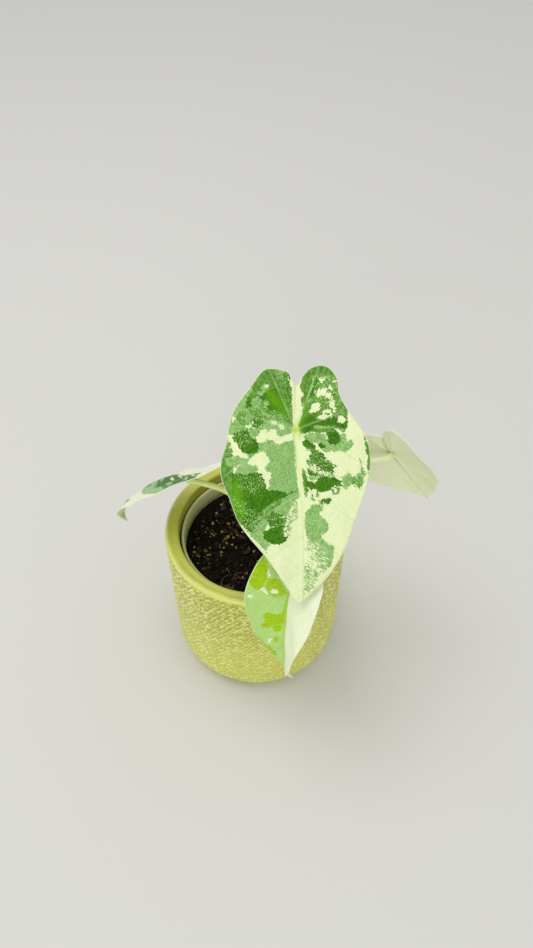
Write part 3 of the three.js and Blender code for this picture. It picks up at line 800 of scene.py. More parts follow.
def smooth_path(points, steps):
    """Evenly spaced places on a curve through the points, which keeps close to short gaps."""
    ends = [2 * points[0] - points[1], *points, 2 * points[-1] - points[-2]]
    fine = []
    for before, start, end, after in zip(ends, ends[1:], ends[2:], ends[3:]):
        gaps = [(b - a).length ** 0.5 for a, b in ((before, start), (start, end), (end, after))]
        leave = ((start - before) / gaps[0] - (end - before) / (gaps[0] + gaps[1])
                 + (end - start) / gaps[1]) * gaps[1]
        arrive = ((end - start) / gaps[1] - (after - start) / (gaps[1] + gaps[2])
                  + (after - end) / gaps[2]) * gaps[1]
        fine += curve_piece(start, end, leave, arrive, 30)
    return [Vector(place) for place in evenly_spaced([*fine, points[-1]], steps)]


def stalk_points(leaf):
    """From its foot in the stem, up past its own places and through the knee to the blade."""
    along, _, face = blade_axes(leaf)
    foot = STEM_PLACE + Vector((*leaf["foot"], 0)) * STALK_RING
    foot.z = STEM_HIGH.z - STALK_SOCKET + STALK_SOCKET_ROOM
    clear = Vector((foot.x, foot.y, STEM_HIGH.z + STALK_CLEAR))
    below = BLADE_THICKNESS / 2 + MIDRIB_RISE - STALK_TOUCH
    end = leaf["joint"] - face * below
    knee = end - face * leaf["knee"] - along * STALK_KNEE_BACK
    return [foot, clear, *leaf["stalk"], knee, end]


def stalk_skin():
    """Its share attribute runs from 0 at the foot to 1 at the blade."""
    tree, shader, material = nodes_of("pale_stalk_skin")
    place = object_place(tree)
    along = stored(tree, "share")
    drift = grains(tree, place, 160, 4)
    colour = blend(tree, fade(tree, drift, 0.3, 0.7), *STALK_TONES)
    colour = blend(tree, fade(tree, along, 0.22, 0.0, 0, 0.6), colour, STALK_FOOT_TONE)
    colour = blend(tree, fade(tree, along, 0.9, 1.0, 0, 0.3), colour, STALK_TIP_TONE)
    creamy = fade(tree, axis_of(tree, place, 0), *STALK_CREAM_SPAN, 0, 0.75)
    colour = blend(tree, creamy, colour, STALK_CREAM)
    streaks = grains(tree, place, 1300, 2)
    colour = blend(tree, fade(tree, streaks, 0.6, 0.75, 0, 0.3), colour, STALK_STREAK)
    wire(tree, shader, {
        "Base Color": colour,
        "Roughness": fade(tree, drift, 0.2, 0.8, 0.34, 0.5),
        "Subsurface Weight": 0.25,
        "Subsurface Radius": (1, 1, 0.5),
        "Subsurface Scale": 1 * MM,
        "Normal": bumped(tree, streaks, 0.05 * MM)})
    return material


def pushed_tube(bm, path, sides):
    """A round tube pushed along a path, ring by ring, from a closed end. Gives its rings."""
    lean = Vector((0, 0, 1)).rotation_difference(path[1] - path[0]).to_matrix().to_4x4()
    ring = bmesh.ops.create_circle(bm, cap_ends=True, segments=sides, radius=1.0,
                                   matrix=Matrix.Translation(path[0]) @ lean)["verts"]
    edges = [edge for edge in bm.edges if edge.is_boundary]
    rings = [ring]
    heading = path[1] - path[0]
    for step in range(1, len(path)):
        grown = bmesh.ops.extrude_edge_only(bm, edges=edges)["geom"]
        ring = [item for item in grown if isinstance(item, bmesh.types.BMVert)]
        edges = [item for item in grown if isinstance(item, bmesh.types.BMEdge)]
        onward = path[min(step + 1, len(path) - 1)] - path[step - 1]
        turn = heading.rotation_difference(onward).to_matrix()
        bmesh.ops.translate(bm, verts=ring, vec=path[step] - path[step - 1])
        bmesh.ops.rotate(bm, verts=ring, cent=path[step], matrix=turn)
        heading = onward
        rings.append(ring)
    return rings


def make_stalk(name, leaf, material):
    """A tube with a wider foot and a thicker knee."""
    path = smooth_path(stalk_points(leaf), STALK_STEPS)
    bm = bmesh.new()
    share = bm.verts.layers.float.new("share")
    tip_radius = STALK_TIP_RADIUS * leaf["stout"]
    for step, ring in enumerate(pushed_tube(bm, path, STALK_SIDES)):
        along = step / STALK_STEPS
        sheath = max(0.0, 1 - along / STALK_SHEATH) ** 0.7
        radius = tip_radius + (STALK_FOOT_RADIUS - tip_radius) * sheath
        radius *= 1 + STALK_KNEE_SWELL * math.exp(-((along - 0.95) / 0.03) ** 2)
        for corner in ring:
            corner.co = path[step] + (corner.co - path[step]).normalized() * radius
            corner[share] = along
    bmesh.ops.holes_fill(bm, edges=[edge for edge in bm.edges if edge.is_boundary])
    bmesh.ops.recalc_face_normals(bm, faces=bm.faces)
    part_of_plant(finished(f"leaf_stalk_{name}", bm, material), "leaf_stalk", f"stalk_{name}")


stalk_material = stalk_skin()
for leaf_name, leaf_form in LEAVES.items():
    make_stalk(leaf_name, leaf_form, stalk_material)


# ---- blades ----------------------------------------------------------------------------------
# Thin arrow-shaped blades, velvety above and paler below, with a raised midrib underneath and
# arched side veins. Each is a chimera: cream tissue with ragged patches of sage and green.

BLADE_THIN = 0.5 * MM                # between its ribs, thinner than the frame's blade
EDGE_STEPS = 312                     # round the blade's edge
BLADE_RINGS = 56                     # from the joint to the edge
VEIN_ANGLE = 62                      # degrees between the midrib and a side vein's start
LOBE_ANGLE = 158                     # degrees between the midrib and a lobe's own vein
VEIN_ARCH = 0.0015                   # how fast a side vein bends towards the tip, per mm
ARCH_TURN = -8                       # behind here, in mm, it bends towards the lobe instead
FAN_SCALE = 0.22                     # mm across the veins that a degree of the fan counts for
WIDEST_ROOM = 14                     # mm between veins, past which they shape the blade no more
FLOW_STRETCH = 0.55                  # below 1, patterns are drawn out along the veins
HALVES_APART = 5                     # keeps the patterns of the two halves different
DRIFT_LENGTH = 92                    # mm along which the midrib sways out and back
PUCKER = 0.5                         # mm that it stands up between its veins
GROOVE = 0.45                        # mm that it sinks in over its midrib
EDGE_THIN = 0.55                     # the edge's thickness, as a share of the blade's
MIDRIB_DEPTH = 0.95 * MM
SIDE_RIB_DEPTH = 0.28 * MM
FIELD_REACH = 9.0                    # mm, past which a patch's border has no say
PLAIN_SPECKLE = 0.4                  # how speckled the three smaller blades are

# One side of a plain blade, as (across, along) from its joint, in shares of the length from
# the joint to the tip.
ARROW_SIDE = [
    (0, -0.23), (0.03, -0.27), (0.075, -0.31), (0.13, -0.33), (0.18, -0.32), (0.23, -0.26),
    (0.28, -0.17), (0.34, -0.07), (0.375, 0.04), (0.395, 0.15), (0.385, 0.27), (0.35, 0.4),
    (0.29, 0.54), (0.21, 0.69), (0.13, 0.83), (0.05, 0.94), (0, 1),
]


def arrow_edges(length, width, lobes=(1, 1), tips=(1, 1)):
    """The left and right edges of a plain blade, in mm, as (across, along) from its joint.
    Width stretches the blade, lobes the length of each lobe, and tips each side of the tip."""
    left, right = ([(side * u * length * width * (tip if v > 0.8 else 1),
                     v * length * (lobe if v < 0 else 1)) for u, v in ARROW_SIDE]
                   for side, lobe, tip in zip((-1, 1), lobes, tips))
    return left, [left[0], *right[1:]]


# The left and right edges of each blade, in mm from the joint, from the notch to the tip.
OUTLINES = {
    "main": (
        [(0.5, -21), (-1.4, -24.3), (-2.6, -27.6), (-6, -28.9), (-10.2, -29.4), (-14.5, -28.3),
         (-20.3, -21.3), (-25.8, -14.6), (-30, -6.5), (-32.5, 5), (-35.2, 14), (-35, 22),
         (-32, 30.5), (-28.5, 40.5), (-23, 49.3), (-13.5, 61.5), (-6.5, 73), (-2.8, 79.6),
         (-0.4, 81.6)],
        [(0.5, -21), (2.4, -21.6), (4.6, -25.4), (8.2, -29), (13, -30.3), (17.2, -28.4),
         (20.3, -22.8), (20.9, -16.2), (24, -9.8), (29, -1.6), (32.8, 5), (34.4, 14),
         (33.3, 23), (30.4, 32), (26.6, 42), (21.4, 55), (14.4, 66.8), (6.5, 75),
         (2.6, 78.6), (-0.4, 81.6)]),
    "left": arrow_edges(51.6, 1, lobes=(1.58, 1.69), tips=(1.1, 1.4)),
    "right": arrow_edges(55.6, 1, lobes=(1.1, 1), tips=(1.1, 1.1)),
    "front": arrow_edges(68.3, 0.8, tips=(0.62, 0.62)),
}

# Where each pair of side veins leaves the midrib, in mm from the joint, and last the tip.
VEIN_STARTS = {
    "main": [0, 29.5, 50, 66, 82],
    "left": [0, 19, 33, 44, 55],
    "right": [0, 19, 33, 44, 56],
    "front": [0, 24, 41, 55, 68],
}


def arc_walk(length, start, turn_per_mm):
    """Where a walk ends that starts at an angle and turns steadily: ahead, aside and angle."""
    turn = math.radians(turn_per_mm)
    if abs(turn) < 1e-9:
        return length * np.cos(start), length * np.sin(start), start + 0 * length
    angle = start + turn * length
    ahead = (np.sin(angle) - np.sin(start)) / turn
    aside = (np.cos(start) - np.cos(angle)) / turn
    return ahead, aside, angle


def blade_surface(leaf, u, v):
    """Points on the bent middle surface, for arrays of places in mm across and along."""
    along, across, face = (np.array(axis) for axis in blade_axes(leaf))
    back = arc_walk(np.minimum(v, 0), 0.0, leaf["lobe_bend"])
    first = arc_walk(np.clip(v, 0, leaf["curl_from"]), 0.0, leaf["bend"])
    second = arc_walk(np.maximum(v - leaf["curl_from"], 0), first[2], leaf["curl"])
    ahead = np.where(v > 0, first[0] + second[0], back[0])
    aside = np.where(v > 0, first[1] + second[1], back[1])
    angle = np.where(v > 0, second[2], back[2])
    left, right = (arc_walk(np.abs(u), math.radians(fold), -leaf["roll"])
                   for fold in leaf["folds"])
    side = np.where(u > 0, right[0], -left[0])
    rise = np.where(u > 0, right[1], left[1])
    twist = math.radians(leaf["twist"]) * np.maximum(v, 0)
    sideways = side * np.cos(twist) - rise * np.sin(twist)
    upwards = side * np.sin(twist) + rise * np.cos(twist)
    up = np.outer(np.sin(angle), along) + np.outer(np.cos(angle), face)
    bent = (np.outer(ahead, along) - np.outer(aside, face) + np.outer(sideways, across)
            + up * upwards[:, None])
    return np.array(leaf["joint"]) + bent * MM


def edge_line(points, steps):
    """Evenly spaced places along one edge, on a smooth curve through its points."""
    spots = [Vector(point) for point in points]
    padded = [spots[0], *spots, spots[-1]]
    fine = []
    for before, start, end, after in zip(padded, padded[1:], padded[2:], padded[3:]):
        fine += curve_piece(start, end, (end - before) / 2, (after - start) / 2, 12)
    return evenly_spaced([*fine, spots[-1]], steps)


def side_veins(u, v, starts):
    """For each place: which side vein it is on (whole numbers are veins), the room between
    veins there in mm, and how far the place is across the veins and out along them in mm.
    Behind the joint the veins fan out into the lobes."""
    vein_angle = math.radians(VEIN_ANGLE)
    out = np.abs(u)
    level = v - VEIN_ARCH * out ** 2 * np.sign(v - ARCH_TURN)
    start = level - out / math.tan(vein_angle)
    ahead = start > 0
    forward = np.interp(start, starts, range(2, 2 + len(starts)))
    forward_room = np.interp(start, starts, np.gradient(np.array(starts, float)))
    angle = np.degrees(np.arctan2(out, level))
    fan_step = (LOBE_ANGLE - VEIN_ANGLE) / 2
    fan_room = np.hypot(out, level) * math.radians(fan_step)
    number = np.where(ahead, forward, 2 - (angle - VEIN_ANGLE) / fan_step)
    rooms = np.where(ahead, forward_room * math.sin(vein_angle), fan_room)
    steps = np.where(ahead, start * math.sin(vein_angle), (VEIN_ANGLE - angle) * FAN_SCALE)
    run = np.where(ahead, out / math.sin(vein_angle), np.hypot(out, level))
    return number, rooms, steps, run


def inside_distance(u, v, outline):
    """Distance in mm from the places to a closed outline, positive inside it."""
    corners = np.array(outline, float)
    nearest = np.full(u.shape, 1e9)
    crossings = np.zeros(u.shape, int)
    for (u1, v1), (u2, v2) in zip(corners, np.roll(corners, -1, axis=0)):
        du, dv = u2 - u1, v2 - v1
        share = np.clip(((u - u1) * du + (v - v1) * dv) / (du * du + dv * dv), 0, 1)
        nearest = np.minimum(nearest, np.hypot(u - u1 - share * du, v - v1 - share * dv))
        spans = (v1 > v) != (v2 > v)
        side = u1 + (v - v1) * du / (dv if dv else 1e-9)
        crossings += spans & (u < side)
    return np.where(crossings % 2 == 1, nearest, -nearest)


# From bare ground to the one with the most leaf green.
TISSUES = ["cream", "sage", "green", "deep"]

# Where each tissue lies, as seen on the upper side, in mm across and along from the joint, in
# outlines that are drawn. A later patch covers an earlier one.
PATCHES = {
    "main": [
        ("sage", [(-1, -20), (-2, -25), (-4, -29), (-10, -31), (-16, -29), (-22, -21), (-28, -13),
                  (-32, -4), (-35, 5), (-37, 14), (-37, 24), (-31, 34), (-27, 42), (-22, 50),
                  (-15.2, 56.6), (-14.4, 54), (-13.2, 52.6), (-16.5, 48.5), (-14.5, 44), (-10, 40),
                  (-5, 40), (-1.5, 35), (0.8, 31), (1, 29), (0, 24), (-0.7, 15), (-0.9, 5.5), (-2, 4),
                  (-1, -3)]),
        ("green", [(-0.6, -20), (-1.8, -24), (-1.2, -26), (-3, -30), (-10, -32), (-17, -29.5),
                   (-20.4, -24), (-19.5, -20.5), (-21, -17.5), (-23.2, -13), (-22.5, -10.2), (-25, -8.8),
                   (-27.4, -7), (-25.6, -4), (-23.2, -2.4), (-22.6, -3.4), (-24.6, -6.4), (-20.2, -6.6),
                   (-20.2, -2.6), (-18.5, -1.5), (-16.6, -2), (-15.4, -4.6), (-10, -5.2), (-5, -4.2),
                   (-2.6, -3.2), (-0.8, -1.5)]),
        ("deep", [(-18, -17.5), (-13, -18.5), (-9, -20), (-6, -17), (-4.5, -10), (-2.2, -4.6), (-5, -7),
                  (-8, -9), (-12.5, -9.6), (-12.5, -14), (-16, -15)]),
        ("deep", [(-23.2, -13.5), (-21.5, -16.5), (-20.1, -15.4), (-20.4, -10.6), (-22.4, -10.2)]),
        ("deep", [(-20, -6.6), (-17, -7.4), (-15.2, -5.5), (-15.8, -3), (-17.5, -1.4), (-19.5, -1.8)]),
        ("deep", [(-3, -27.5), (-1.4, -26), (-2.2, -22), (-0.8, -18), (-0.8, -9), (-2.4, -12),
                  (-3.8, -20)]),
        ("sage", [(-20, -15.3), (-17, -16), (-15.6, -14), (-16.3, -10.3), (-19.8, -10.3)]),
        ("sage", [(-13.8, -14), (-12, -13.8), (-12.6, -10.6), (-15.2, -10.3), (-14.4, -12)]),
        ("sage", [(-17.5, -18.5), (-14.8, -20.8), (-14, -21.8), (-11.8, -21.3), (-12, -19.6), (-14, -18),
                  (-15.5, -16.6), (-17.7, -16.6)]),
        ("green", [(-16.2, -19.4), (-15, -19.6), (-14.8, -18.4), (-16, -18.2)]),
        ("cream", [(-14.2, -21.5), (-12.2, -21.2), (-12.4, -20), (-14.4, -20.2)]),
        ("sage", [(-15.6, -7), (-12.8, -8.4), (-10.5, -7.2), (-6, -5.6), (-8, -5.2), (-13, -6.2)]),
        ("sage", [(-20, -9), (-18, -8.9), (-17.6, -7.7), (-19.8, -7.8)]),
        ("sage", [(-8, -27.8), (-5, -28.4), (-3.2, -27), (-5.5, -25.6), (-7.5, -26)]),
        ("cream", [(-2.6, -24.4), (-1, -23.6), (0.2, -21), (-1.5, -20.6), (-2.2, -22)]),
        ("cream", [(-11.2, -4.6), (-8.6, -4), (-8.8, -2.8), (-11, -3.2)]),
        ("cream", [(-7.6, -2.8), (-5.6, -2), (-4.6, 0.4), (-7, -0.4)]),
        ("cream", [(-23, -2.2), (-19.8, -3.6), (-19.4, -0.8), (-22.2, -0.6)]),
        ("cream", [(-30, -6), (-28.6, -8), (-27.8, -6), (-29.4, -3.6)]),
        ("deep", [(-28.8, 0.6), (-27, 1), (-26.6, 2.8), (-28, 3.6), (-29.2, 2.4)]),
        ("deep", [(-26.2, 2.8), (-25.4, 0.4), (-23.6, -0.8), (-22.4, 0), (-22.2, 1.8), (-20.8, 3.4),
                  (-19.4, 4.6), (-18, 3.4), (-16.8, 5), (-18, 6.4), (-17.2, 8.6), (-18.6, 10.2),
                  (-22, 10.8), (-24.5, 9.8), (-26.6, 8.2), (-27.4, 6.2), (-26.4, 5.2), (-28.4, 4.8),
                  (-27.4, 3.2)]),
        ("cream", [(-20, 2.8), (-17.5, 2), (-16.2, -0.2), (-14, -0.6), (-13.5, 0.8), (-11, -0.2),
                   (-9, 0.2), (-8.6, 2.4), (-7, 3.2), (-3, 1.8), (-0.6, 0.6), (-0.3, 4.6), (-3, 5.2),
                   (-8, 6.3), (-10, 5.4), (-11, 4.4), (-14.5, 4.2), (-13.8, 5.4), (-17.8, 5.6),
                   (-18.8, 3.8)]),
        ("sage", [(-9.4, 6.8), (-13, 8.4), (-16.6, 10.2), (-16.2, 9.4), (-12.8, 7.4), (-9.4, 6)]),
        ("cream", [(-31.4, 2.2), (-30, 0.8), (-29.2, 3.4), (-27.6, 6.2), (-25.8, 8.6), (-24.6, 10.6),
                   (-22.4, 11.4), (-22.6, 13), (-25.5, 12.4), (-27, 11), (-29, 12), (-29.4, 8.6),
                   (-31, 6.4)]),
        ("green", [(-34.6, -2), (-31.2, -1), (-31.8, 4), (-30.4, 6), (-30, 9), (-28.8, 12), (-30.6, 13.4),
                   (-33.5, 12), (-37, 10)]),
        ("cream", [(-22.6, 14.8), (-20.5, 12), (-17.5, 10), (-14.8, 9.6), (-14, 11.5), (-13, 13),
                   (-12.4, 14.8), (-13.8, 16), (-14.8, 17.6), (-14.2, 18.6), (-12.4, 19.8), (-12.2, 22),
                   (-13, 23.6), (-12.6, 25.4), (-14, 27.8), (-15.2, 25), (-15.6, 22.4), (-16.6, 20),
                   (-18.6, 19.2), (-17.6, 17.2), (-18.8, 15.8), (-21, 16)]),
        ("cream", [(-25.8, 15.2), (-27.2, 16.6), (-28.6, 19.6), (-30, 19.6), (-29.4, 17.4),
                   (-27.6, 15.6)]),
        ("green", [(-38, 10), (-33.4, 12), (-32.4, 15.5), (-30.2, 17), (-29.8, 21), (-31, 25),
                   (-30.5, 30), (-28.5, 36), (-25.5, 42.5), (-24, 46), (-28, 46), (-34, 33), (-38, 24)]),
        ("deep", [(-30.6, 23.6), (-29.8, 20), (-26, 19.8), (-24.6, 20.8), (-22, 20), (-20, 19.3),
                  (-17, 19.8), (-15.4, 22), (-15, 24.4), (-14.4, 26.6), (-13.4, 28), (-10, 28),
                  (-6, 28.8), (0.6, 28.2), (-4, 30.2), (-5.4, 31.2), (-7.4, 31.8), (-8.4, 34.6),
                  (-10.6, 36.6), (-11.2, 38.4), (-9, 38.8), (-7, 40), (-5.4, 41.2), (-5.4, 43),
                  (-6.4, 44.6), (-6, 46.6), (-7.4, 48.6), (-6.4, 49.6), (-5.2, 49.2), (-5.2, 50.6),
                  (-7, 51.6), (-9, 52.8), (-12, 52.8), (-14.6, 51.2), (-16.2, 49.2), (-17, 47.2),
                  (-15.4, 46.2), (-13.4, 45.6), (-14.2, 43), (-13.6, 41.2), (-16, 41), (-18, 42.2),
                  (-19.4, 43.4), (-20.6, 45), (-21.2, 46.8), (-23.8, 46.2), (-25.4, 43.6), (-26.4, 41),
                  (-28.8, 36), (-30.4, 30)]),
        ("green", [(-10.8, 32.6), (-7.4, 31.8), (-8.6, 34.6), (-11, 37), (-14, 40.4), (-18, 41.6),
                   (-16.6, 38), (-14.4, 35)]),
        ("sage", [(-16.4, 37.4), (-12.4, 34.4), (-8.6, 32.6), (-12.2, 35.2), (-16.6, 38.4), (-20.4, 42)]),
        ("cream", [(-12.2, 44.4), (-10.8, 44.2), (-10.2, 45), (-11.8, 45.6)]),
        ("cream", [(-26.6, 43), (-24.6, 45), (-20, 51), (-15.2, 56.6), (-17, 59), (-22, 53), (-28, 46)]),
        ("green", [(2.8, -20.4), (3.8, -22.5), (5, -27), (8.5, -31), (12, -32.5), (17, -31), (21.5, -25),
                   (21.6, -20), (21.4, -16), (24.6, -10.6), (24.6, -7), (24.2, -4), (24.8, -2.4),
                   (23.8, 0), (21.8, 0.8), (22.6, 2.4), (22, 3.2), (20.6, 1), (19, 0.6), (20.8, 3.6),
                   (20.8, 6), (18.2, 7.8), (15.4, 7.4), (14.8, 4), (14, 2), (12, 2), (8, 1.4), (4, 1.8),
                   (2, 0.6), (1.6, -2), (2.8, -6), (3.4, -10), (3.2, -14.5), (4.6, -15.4), (4.8, -16.8),
                   (3.6, -18.4)]),
        ("deep", [(2, -2), (4, -5.5), (7, -7), (9, -6), (9.5, -4.5), (13, -3.8), (16, -5), (19, -5.7),
                  (19.8, -4), (18.7, -2.6), (22, -2.4), (22.6, -3.4), (23.6, -4.8), (24.5, -3), (23.8, 0),
                  (22.2, 2.6), (21.4, 0.6), (18, -0.8), (14, -0.8), (10.5, -0.8), (8.6, 0.2), (6, 1.8),
                  (3.2, 2.2), (1.6, 0.6)]),
        ("deep", [(15, 1.6), (18.6, 1), (20.8, 3.8), (20.6, 6.2), (18, 7.8), (15.4, 7.2)]),
        ("deep", [(10.4, -25), (11.8, -24.4), (10.8, -21), (9.4, -17), (7.4, -14.2), (6.8, -15),
                  (9, -20)]),
        ("cream", [(10, -17.2), (11.2, -18.8), (12.4, -19.2), (14.8, -18.6), (15.4, -16.8), (16.6, -16.4),
                   (17.8, -16.2), (17.8, -14), (16, -13.2), (14.4, -14.2), (12, -15.2), (10.2, -15.6)]),
        ("cream", [(6.6, -7.8), (7.8, -10), (7.8, -11.4), (10.2, -12.4), (11.8, -11.4), (11.6, -8.8),
                   (9.6, -8), (8, -7.4)]),
        ("cream", [(15.8, -13), (17, -14), (18.4, -12.4), (18.8, -9.2), (17, -8.8), (15.8, -10.6)]),
        ("cream", [(12.4, -8.2), (16.4, -9), (19.4, -8.2), (18.8, -7), (16, -7.2), (13.4, -6.8)]),
        ("cream", [(10.8, -5.2), (13, -6.5), (15.4, -6.7), (17.5, -6.9), (17.5, -5.5), (15, -4.9),
                   (12.6, -4.2)]),
        ("cream", [(19, -2.8), (20.3, -5.4), (23.6, -5.2), (23.2, -3.2), (21.6, -2.2)]),
        ("cream", [(12, -23), (13.4, -23.8), (14.4, -22.8), (13.2, -21.8)]),
        ("sage", [(14.4, -24.6), (16.2, -24.8), (17, -23.6), (15.4, -23.2)]),
        ("cream", [(18, -21.8), (20.4, -23), (20.8, -20.6), (19, -20.4)]),
        ("cream", [(16.2, -19.8), (17.8, -19.4), (17.6, -17.8), (16.2, -18)]),
        ("sage", [(8.4, -25.6), (9.8, -25.2), (9.2, -20.6), (7.5, -16.4), (6, -13.2), (5.4, -13.8),
                  (7, -18), (8.2, -21.4)]),
        ("sage", [(5.4, -13.2), (7.2, -14.6), (8.6, -13.4), (7, -12.4)]),
        ("sage", [(8.4, -1.6), (10.6, -1.4), (14, -1), (18, -1), (18, -0.2), (12, 0.2), (9, 0.2)]),
        ("sage", [(3.4, 2.6), (8, 1.8), (12, 2.4), (14, 3), (15, 6.6), (17, 7.8), (18.6, 8), (20.6, 6.4),
                  (21, 4), (19.4, 1), (21.4, 3), (23.2, 3), (23.6, 6), (24.4, 6), (25.8, 5.2), (26.4, 8),
                  (24.6, 10), (22.8, 11.3), (19.4, 10.6), (17.6, 11.6), (16.8, 9.8), (15.6, 11.2),
                  (13.2, 11.2), (11.4, 9.6), (13.4, 9.2), (13.4, 7.2), (11, 6.6), (9, 6.4), (6, 5.2),
                  (3.8, 4.4)]),
        ("deep", [(10.4, 7), (12.4, 6.8), (13.6, 8), (13.4, 9.2), (11, 9)]),
        ("deep", [(3, 5.6), (5, 4.9), (6, 5.8), (8, 7), (9.8, 8), (9, 9.2), (10.8, 10.2), (12.2, 11),
                  (13, 12.8), (13.8, 14.6), (15.8, 15.8), (17.6, 17), (19.2, 17.5), (18.2, 18.4),
                  (17, 18.6), (17.2, 20.6), (15.4, 20.8), (13.2, 20), (11, 19.4), (9.6, 17.6),
                  (8.8, 16.4), (6.4, 17.6), (5.2, 16), (4.6, 14.2), (6.2, 14.8), (6.2, 13.4), (6.8, 12.4),
                  (7.2, 10.8), (6.2, 10.2), (4.4, 9.4), (4.2, 8), (3, 7)]),
        ("deep", [(4.6, 19.4), (7, 18.4), (9.6, 18.8), (11.6, 20.4), (9.6, 21.4), (8, 21.8), (6, 21.4)]),
        ("sage", [(10.8, 21.6), (14.4, 20.6), (17.4, 20.6), (18, 22), (15, 22.6), (12.4, 21.6)]),
        ("sage", [(4.8, 21.6), (8, 22.2), (10.2, 21.6), (9.2, 23.6), (6.6, 23.8), (4.8, 23)]),
        ("green", [(2.6, 18.2), (4.4, 19.6), (4.6, 21.4), (5.2, 23.4), (4.2, 25.4), (5.2, 27.4),
                   (5, 29.4), (3.6, 29.8), (3, 26), (2.5, 22)]),
        ("deep", [(8, 25.4), (9.4, 24), (10.6, 22.4), (12.4, 21.6), (14, 21.8), (15, 22.8), (17.4, 22.4),
                  (19, 23.8), (20.8, 25.2), (20, 26.6), (17, 26.8), (15.6, 27.8), (14.4, 28.8),
                  (11.4, 29.2), (9.2, 28.8), (9.2, 27.6), (6, 27.8), (5.2, 26.4), (4.4, 25.4),
                  (4.2, 23.4), (6, 24.4)]),
        ("green", [(15.4, 28.6), (17, 27.4), (19, 27.6), (20.4, 29), (18.8, 31), (16.6, 30.4)]),
        ("cream", [(17, 28.6), (18.6, 28.4), (18.8, 29.6), (17.4, 29.8)]),
        ("sage", [(20.4, 23.4), (22.6, 21.4), (24, 20.2), (25.2, 22), (25.8, 23.2), (28, 21.6),
                  (30, 19.6), (31.4, 20.2), (32, 21.6), (30.6, 23.4), (30.6, 25.6), (29.4, 28.2),
                  (27.4, 27.6), (25.4, 25.8), (24.2, 27), (22.6, 28.2), (20.6, 27)]),
        ("green", [(25, 23), (28, 22.4), (30, 24.4), (29.4, 27.6), (27, 27), (25.6, 25.2)]),
        ("green", [(31.4, 4), (32.6, 5), (33.8, 9), (35.6, 14), (34.6, 19), (33, 21.4), (32.6, 18),
                   (32.8, 14), (32, 10.6)]),
        ("sage", [(29, 14), (29.8, 13.6), (30.4, 18), (31.4, 20.6), (30, 20.4)]),
        ("green", [(3.8, 29.8), (5.2, 30.4), (4.4, 31.4), (3.6, 31)]),
        ("green", [(6.4, 29.8), (7.6, 30), (7.4, 31.4), (6.2, 31.2)]),
        ("green", [(8.2, 29.6), (10, 29.8), (10.4, 31.2), (8.6, 31.2)]),
        ("green", [(6.2, 31.4), (7.8, 31.6), (8.2, 33.2), (6.6, 33)]),
        ("deep", [(10, 33.6), (11.6, 32.4), (13.4, 31.8), (15.4, 32.2), (15.6, 34), (13.6, 34.9),
                  (11, 34.9)]),
        ("cream", [(11.5, 33.6), (13.2, 33.1), (13.2, 33.9), (11.8, 34.1)]),
        ("sage", [(3.6, 38.2), (4.4, 37.2), (6, 36.8), (5.6, 34.8), (8.2, 34.6), (10.4, 35.2),
                  (12.8, 36.8), (11, 38.2), (10.2, 38.8), (10.4, 40), (12.4, 41.2), (13.4, 43), (14, 45),
                  (13.2, 47.4), (10.8, 48.6), (10.4, 50), (12, 51.4), (14, 53.4), (16, 54.2),
                  (16.2, 57.4), (15.2, 61), (13.6, 64.2), (10.4, 65.9), (8.4, 64.8), (8.8, 62),
                  (7.2, 60.2), (8.2, 58.8), (6.8, 57.2), (8.2, 55.8), (8.8, 55), (6.2, 54.4), (4.6, 52.8),
                  (4.2, 49.6), (3.4, 48.2), (3.2, 46.2), (2.7, 45.8), (3.1, 42)]),
        ("sage", [(2.7, 62), (4.2, 61.8), (5.2, 64), (7.2, 65.2), (8.9, 67), (8.4, 69.4), (6.6, 71),
                  (4.8, 70.4), (6.4, 72.4), (5.8, 74.4), (3.4, 74.8), (2.8, 77.6), (1.7, 77), (1.9, 72),
                  (2.1, 67.6), (2.5, 66)]),
        ("sage", [(2.7, 54.6), (5.2, 54), (6.9, 55.4), (6.2, 56.6), (3.6, 56)]),
        ("sage", [(4.6, 58), (6.6, 58.4), (7.6, 61), (5.6, 61.6)]),
        ("sage", [(-5.6, 44.4), (-4.4, 41.4), (-2.8, 38), (-1, 34), (-0.4, 37), (-0.6, 41), (-3, 43),
                  (-4.4, 47), (-5.6, 47)]),
        ("cream", [(-0.3, -22), (3, -21.4), (3.6, -18.4), (4.6, -16.8), (4.4, -15.4), (3.1, -15.4),
                   (2.9, -12), (2.3, -6), (1.2, -3), (0.2, -3), (-0.2, -10), (-0.7, -16)]),
        ("cream", [(3.9, -13.4), (4.3, -13), (3.4, -7.4), (2.4, -4.4), (3, -8)]),
    ],
    "left": [
        ("sage", [(-19, 17), (-13, 10), (-7, 5), (-4, -1), (-3, -6), (0, -10), (10, -13), (19, -14),
                  (23, -4), (23, 5), (17, 12.5), (11, 18.5), (5, 24), (0, 28), (-5, 31), (-12, 34),
                  (-17, 31), (-18, 24)]),
        ("green", [(-17, 17), (-12, 11), (-7, 5), (-4, 0), (-3, -5), (0, -9), (10, -12), (18, -12.5),
                   (22, -5), (21, 3), (14, 6), (9, 10), (5, 14), (1, 19), (-5, 22), (-12, 23),
                   (-17, 24)]),
        ("deep", [(-14, 15), (-8, 8), (-5, 3), (-3, -2), (0, -6), (8, -9), (17, -10.5), (20, -5), (19, 2),
                  (13, 3.5), (9, 7), (6, 11), (2, 16), (-2, 20), (-7, 21), (-13, 20)]),
        ("cream", [(-4.6, -2.5), (-1, -5), (3, -7.4), (8, -10), (7, -8.8), (2, -5.8), (-2, -2.8)]),
        ("cream", [(5, -3.4), (11, -6.8), (14, -7.6), (9, -4.2)]),
        ("cream", [(-10, 8.2), (-6, 5.4), (-2.6, 3), (-2, 4), (-5, 6.2), (-8.6, 8.6)]),
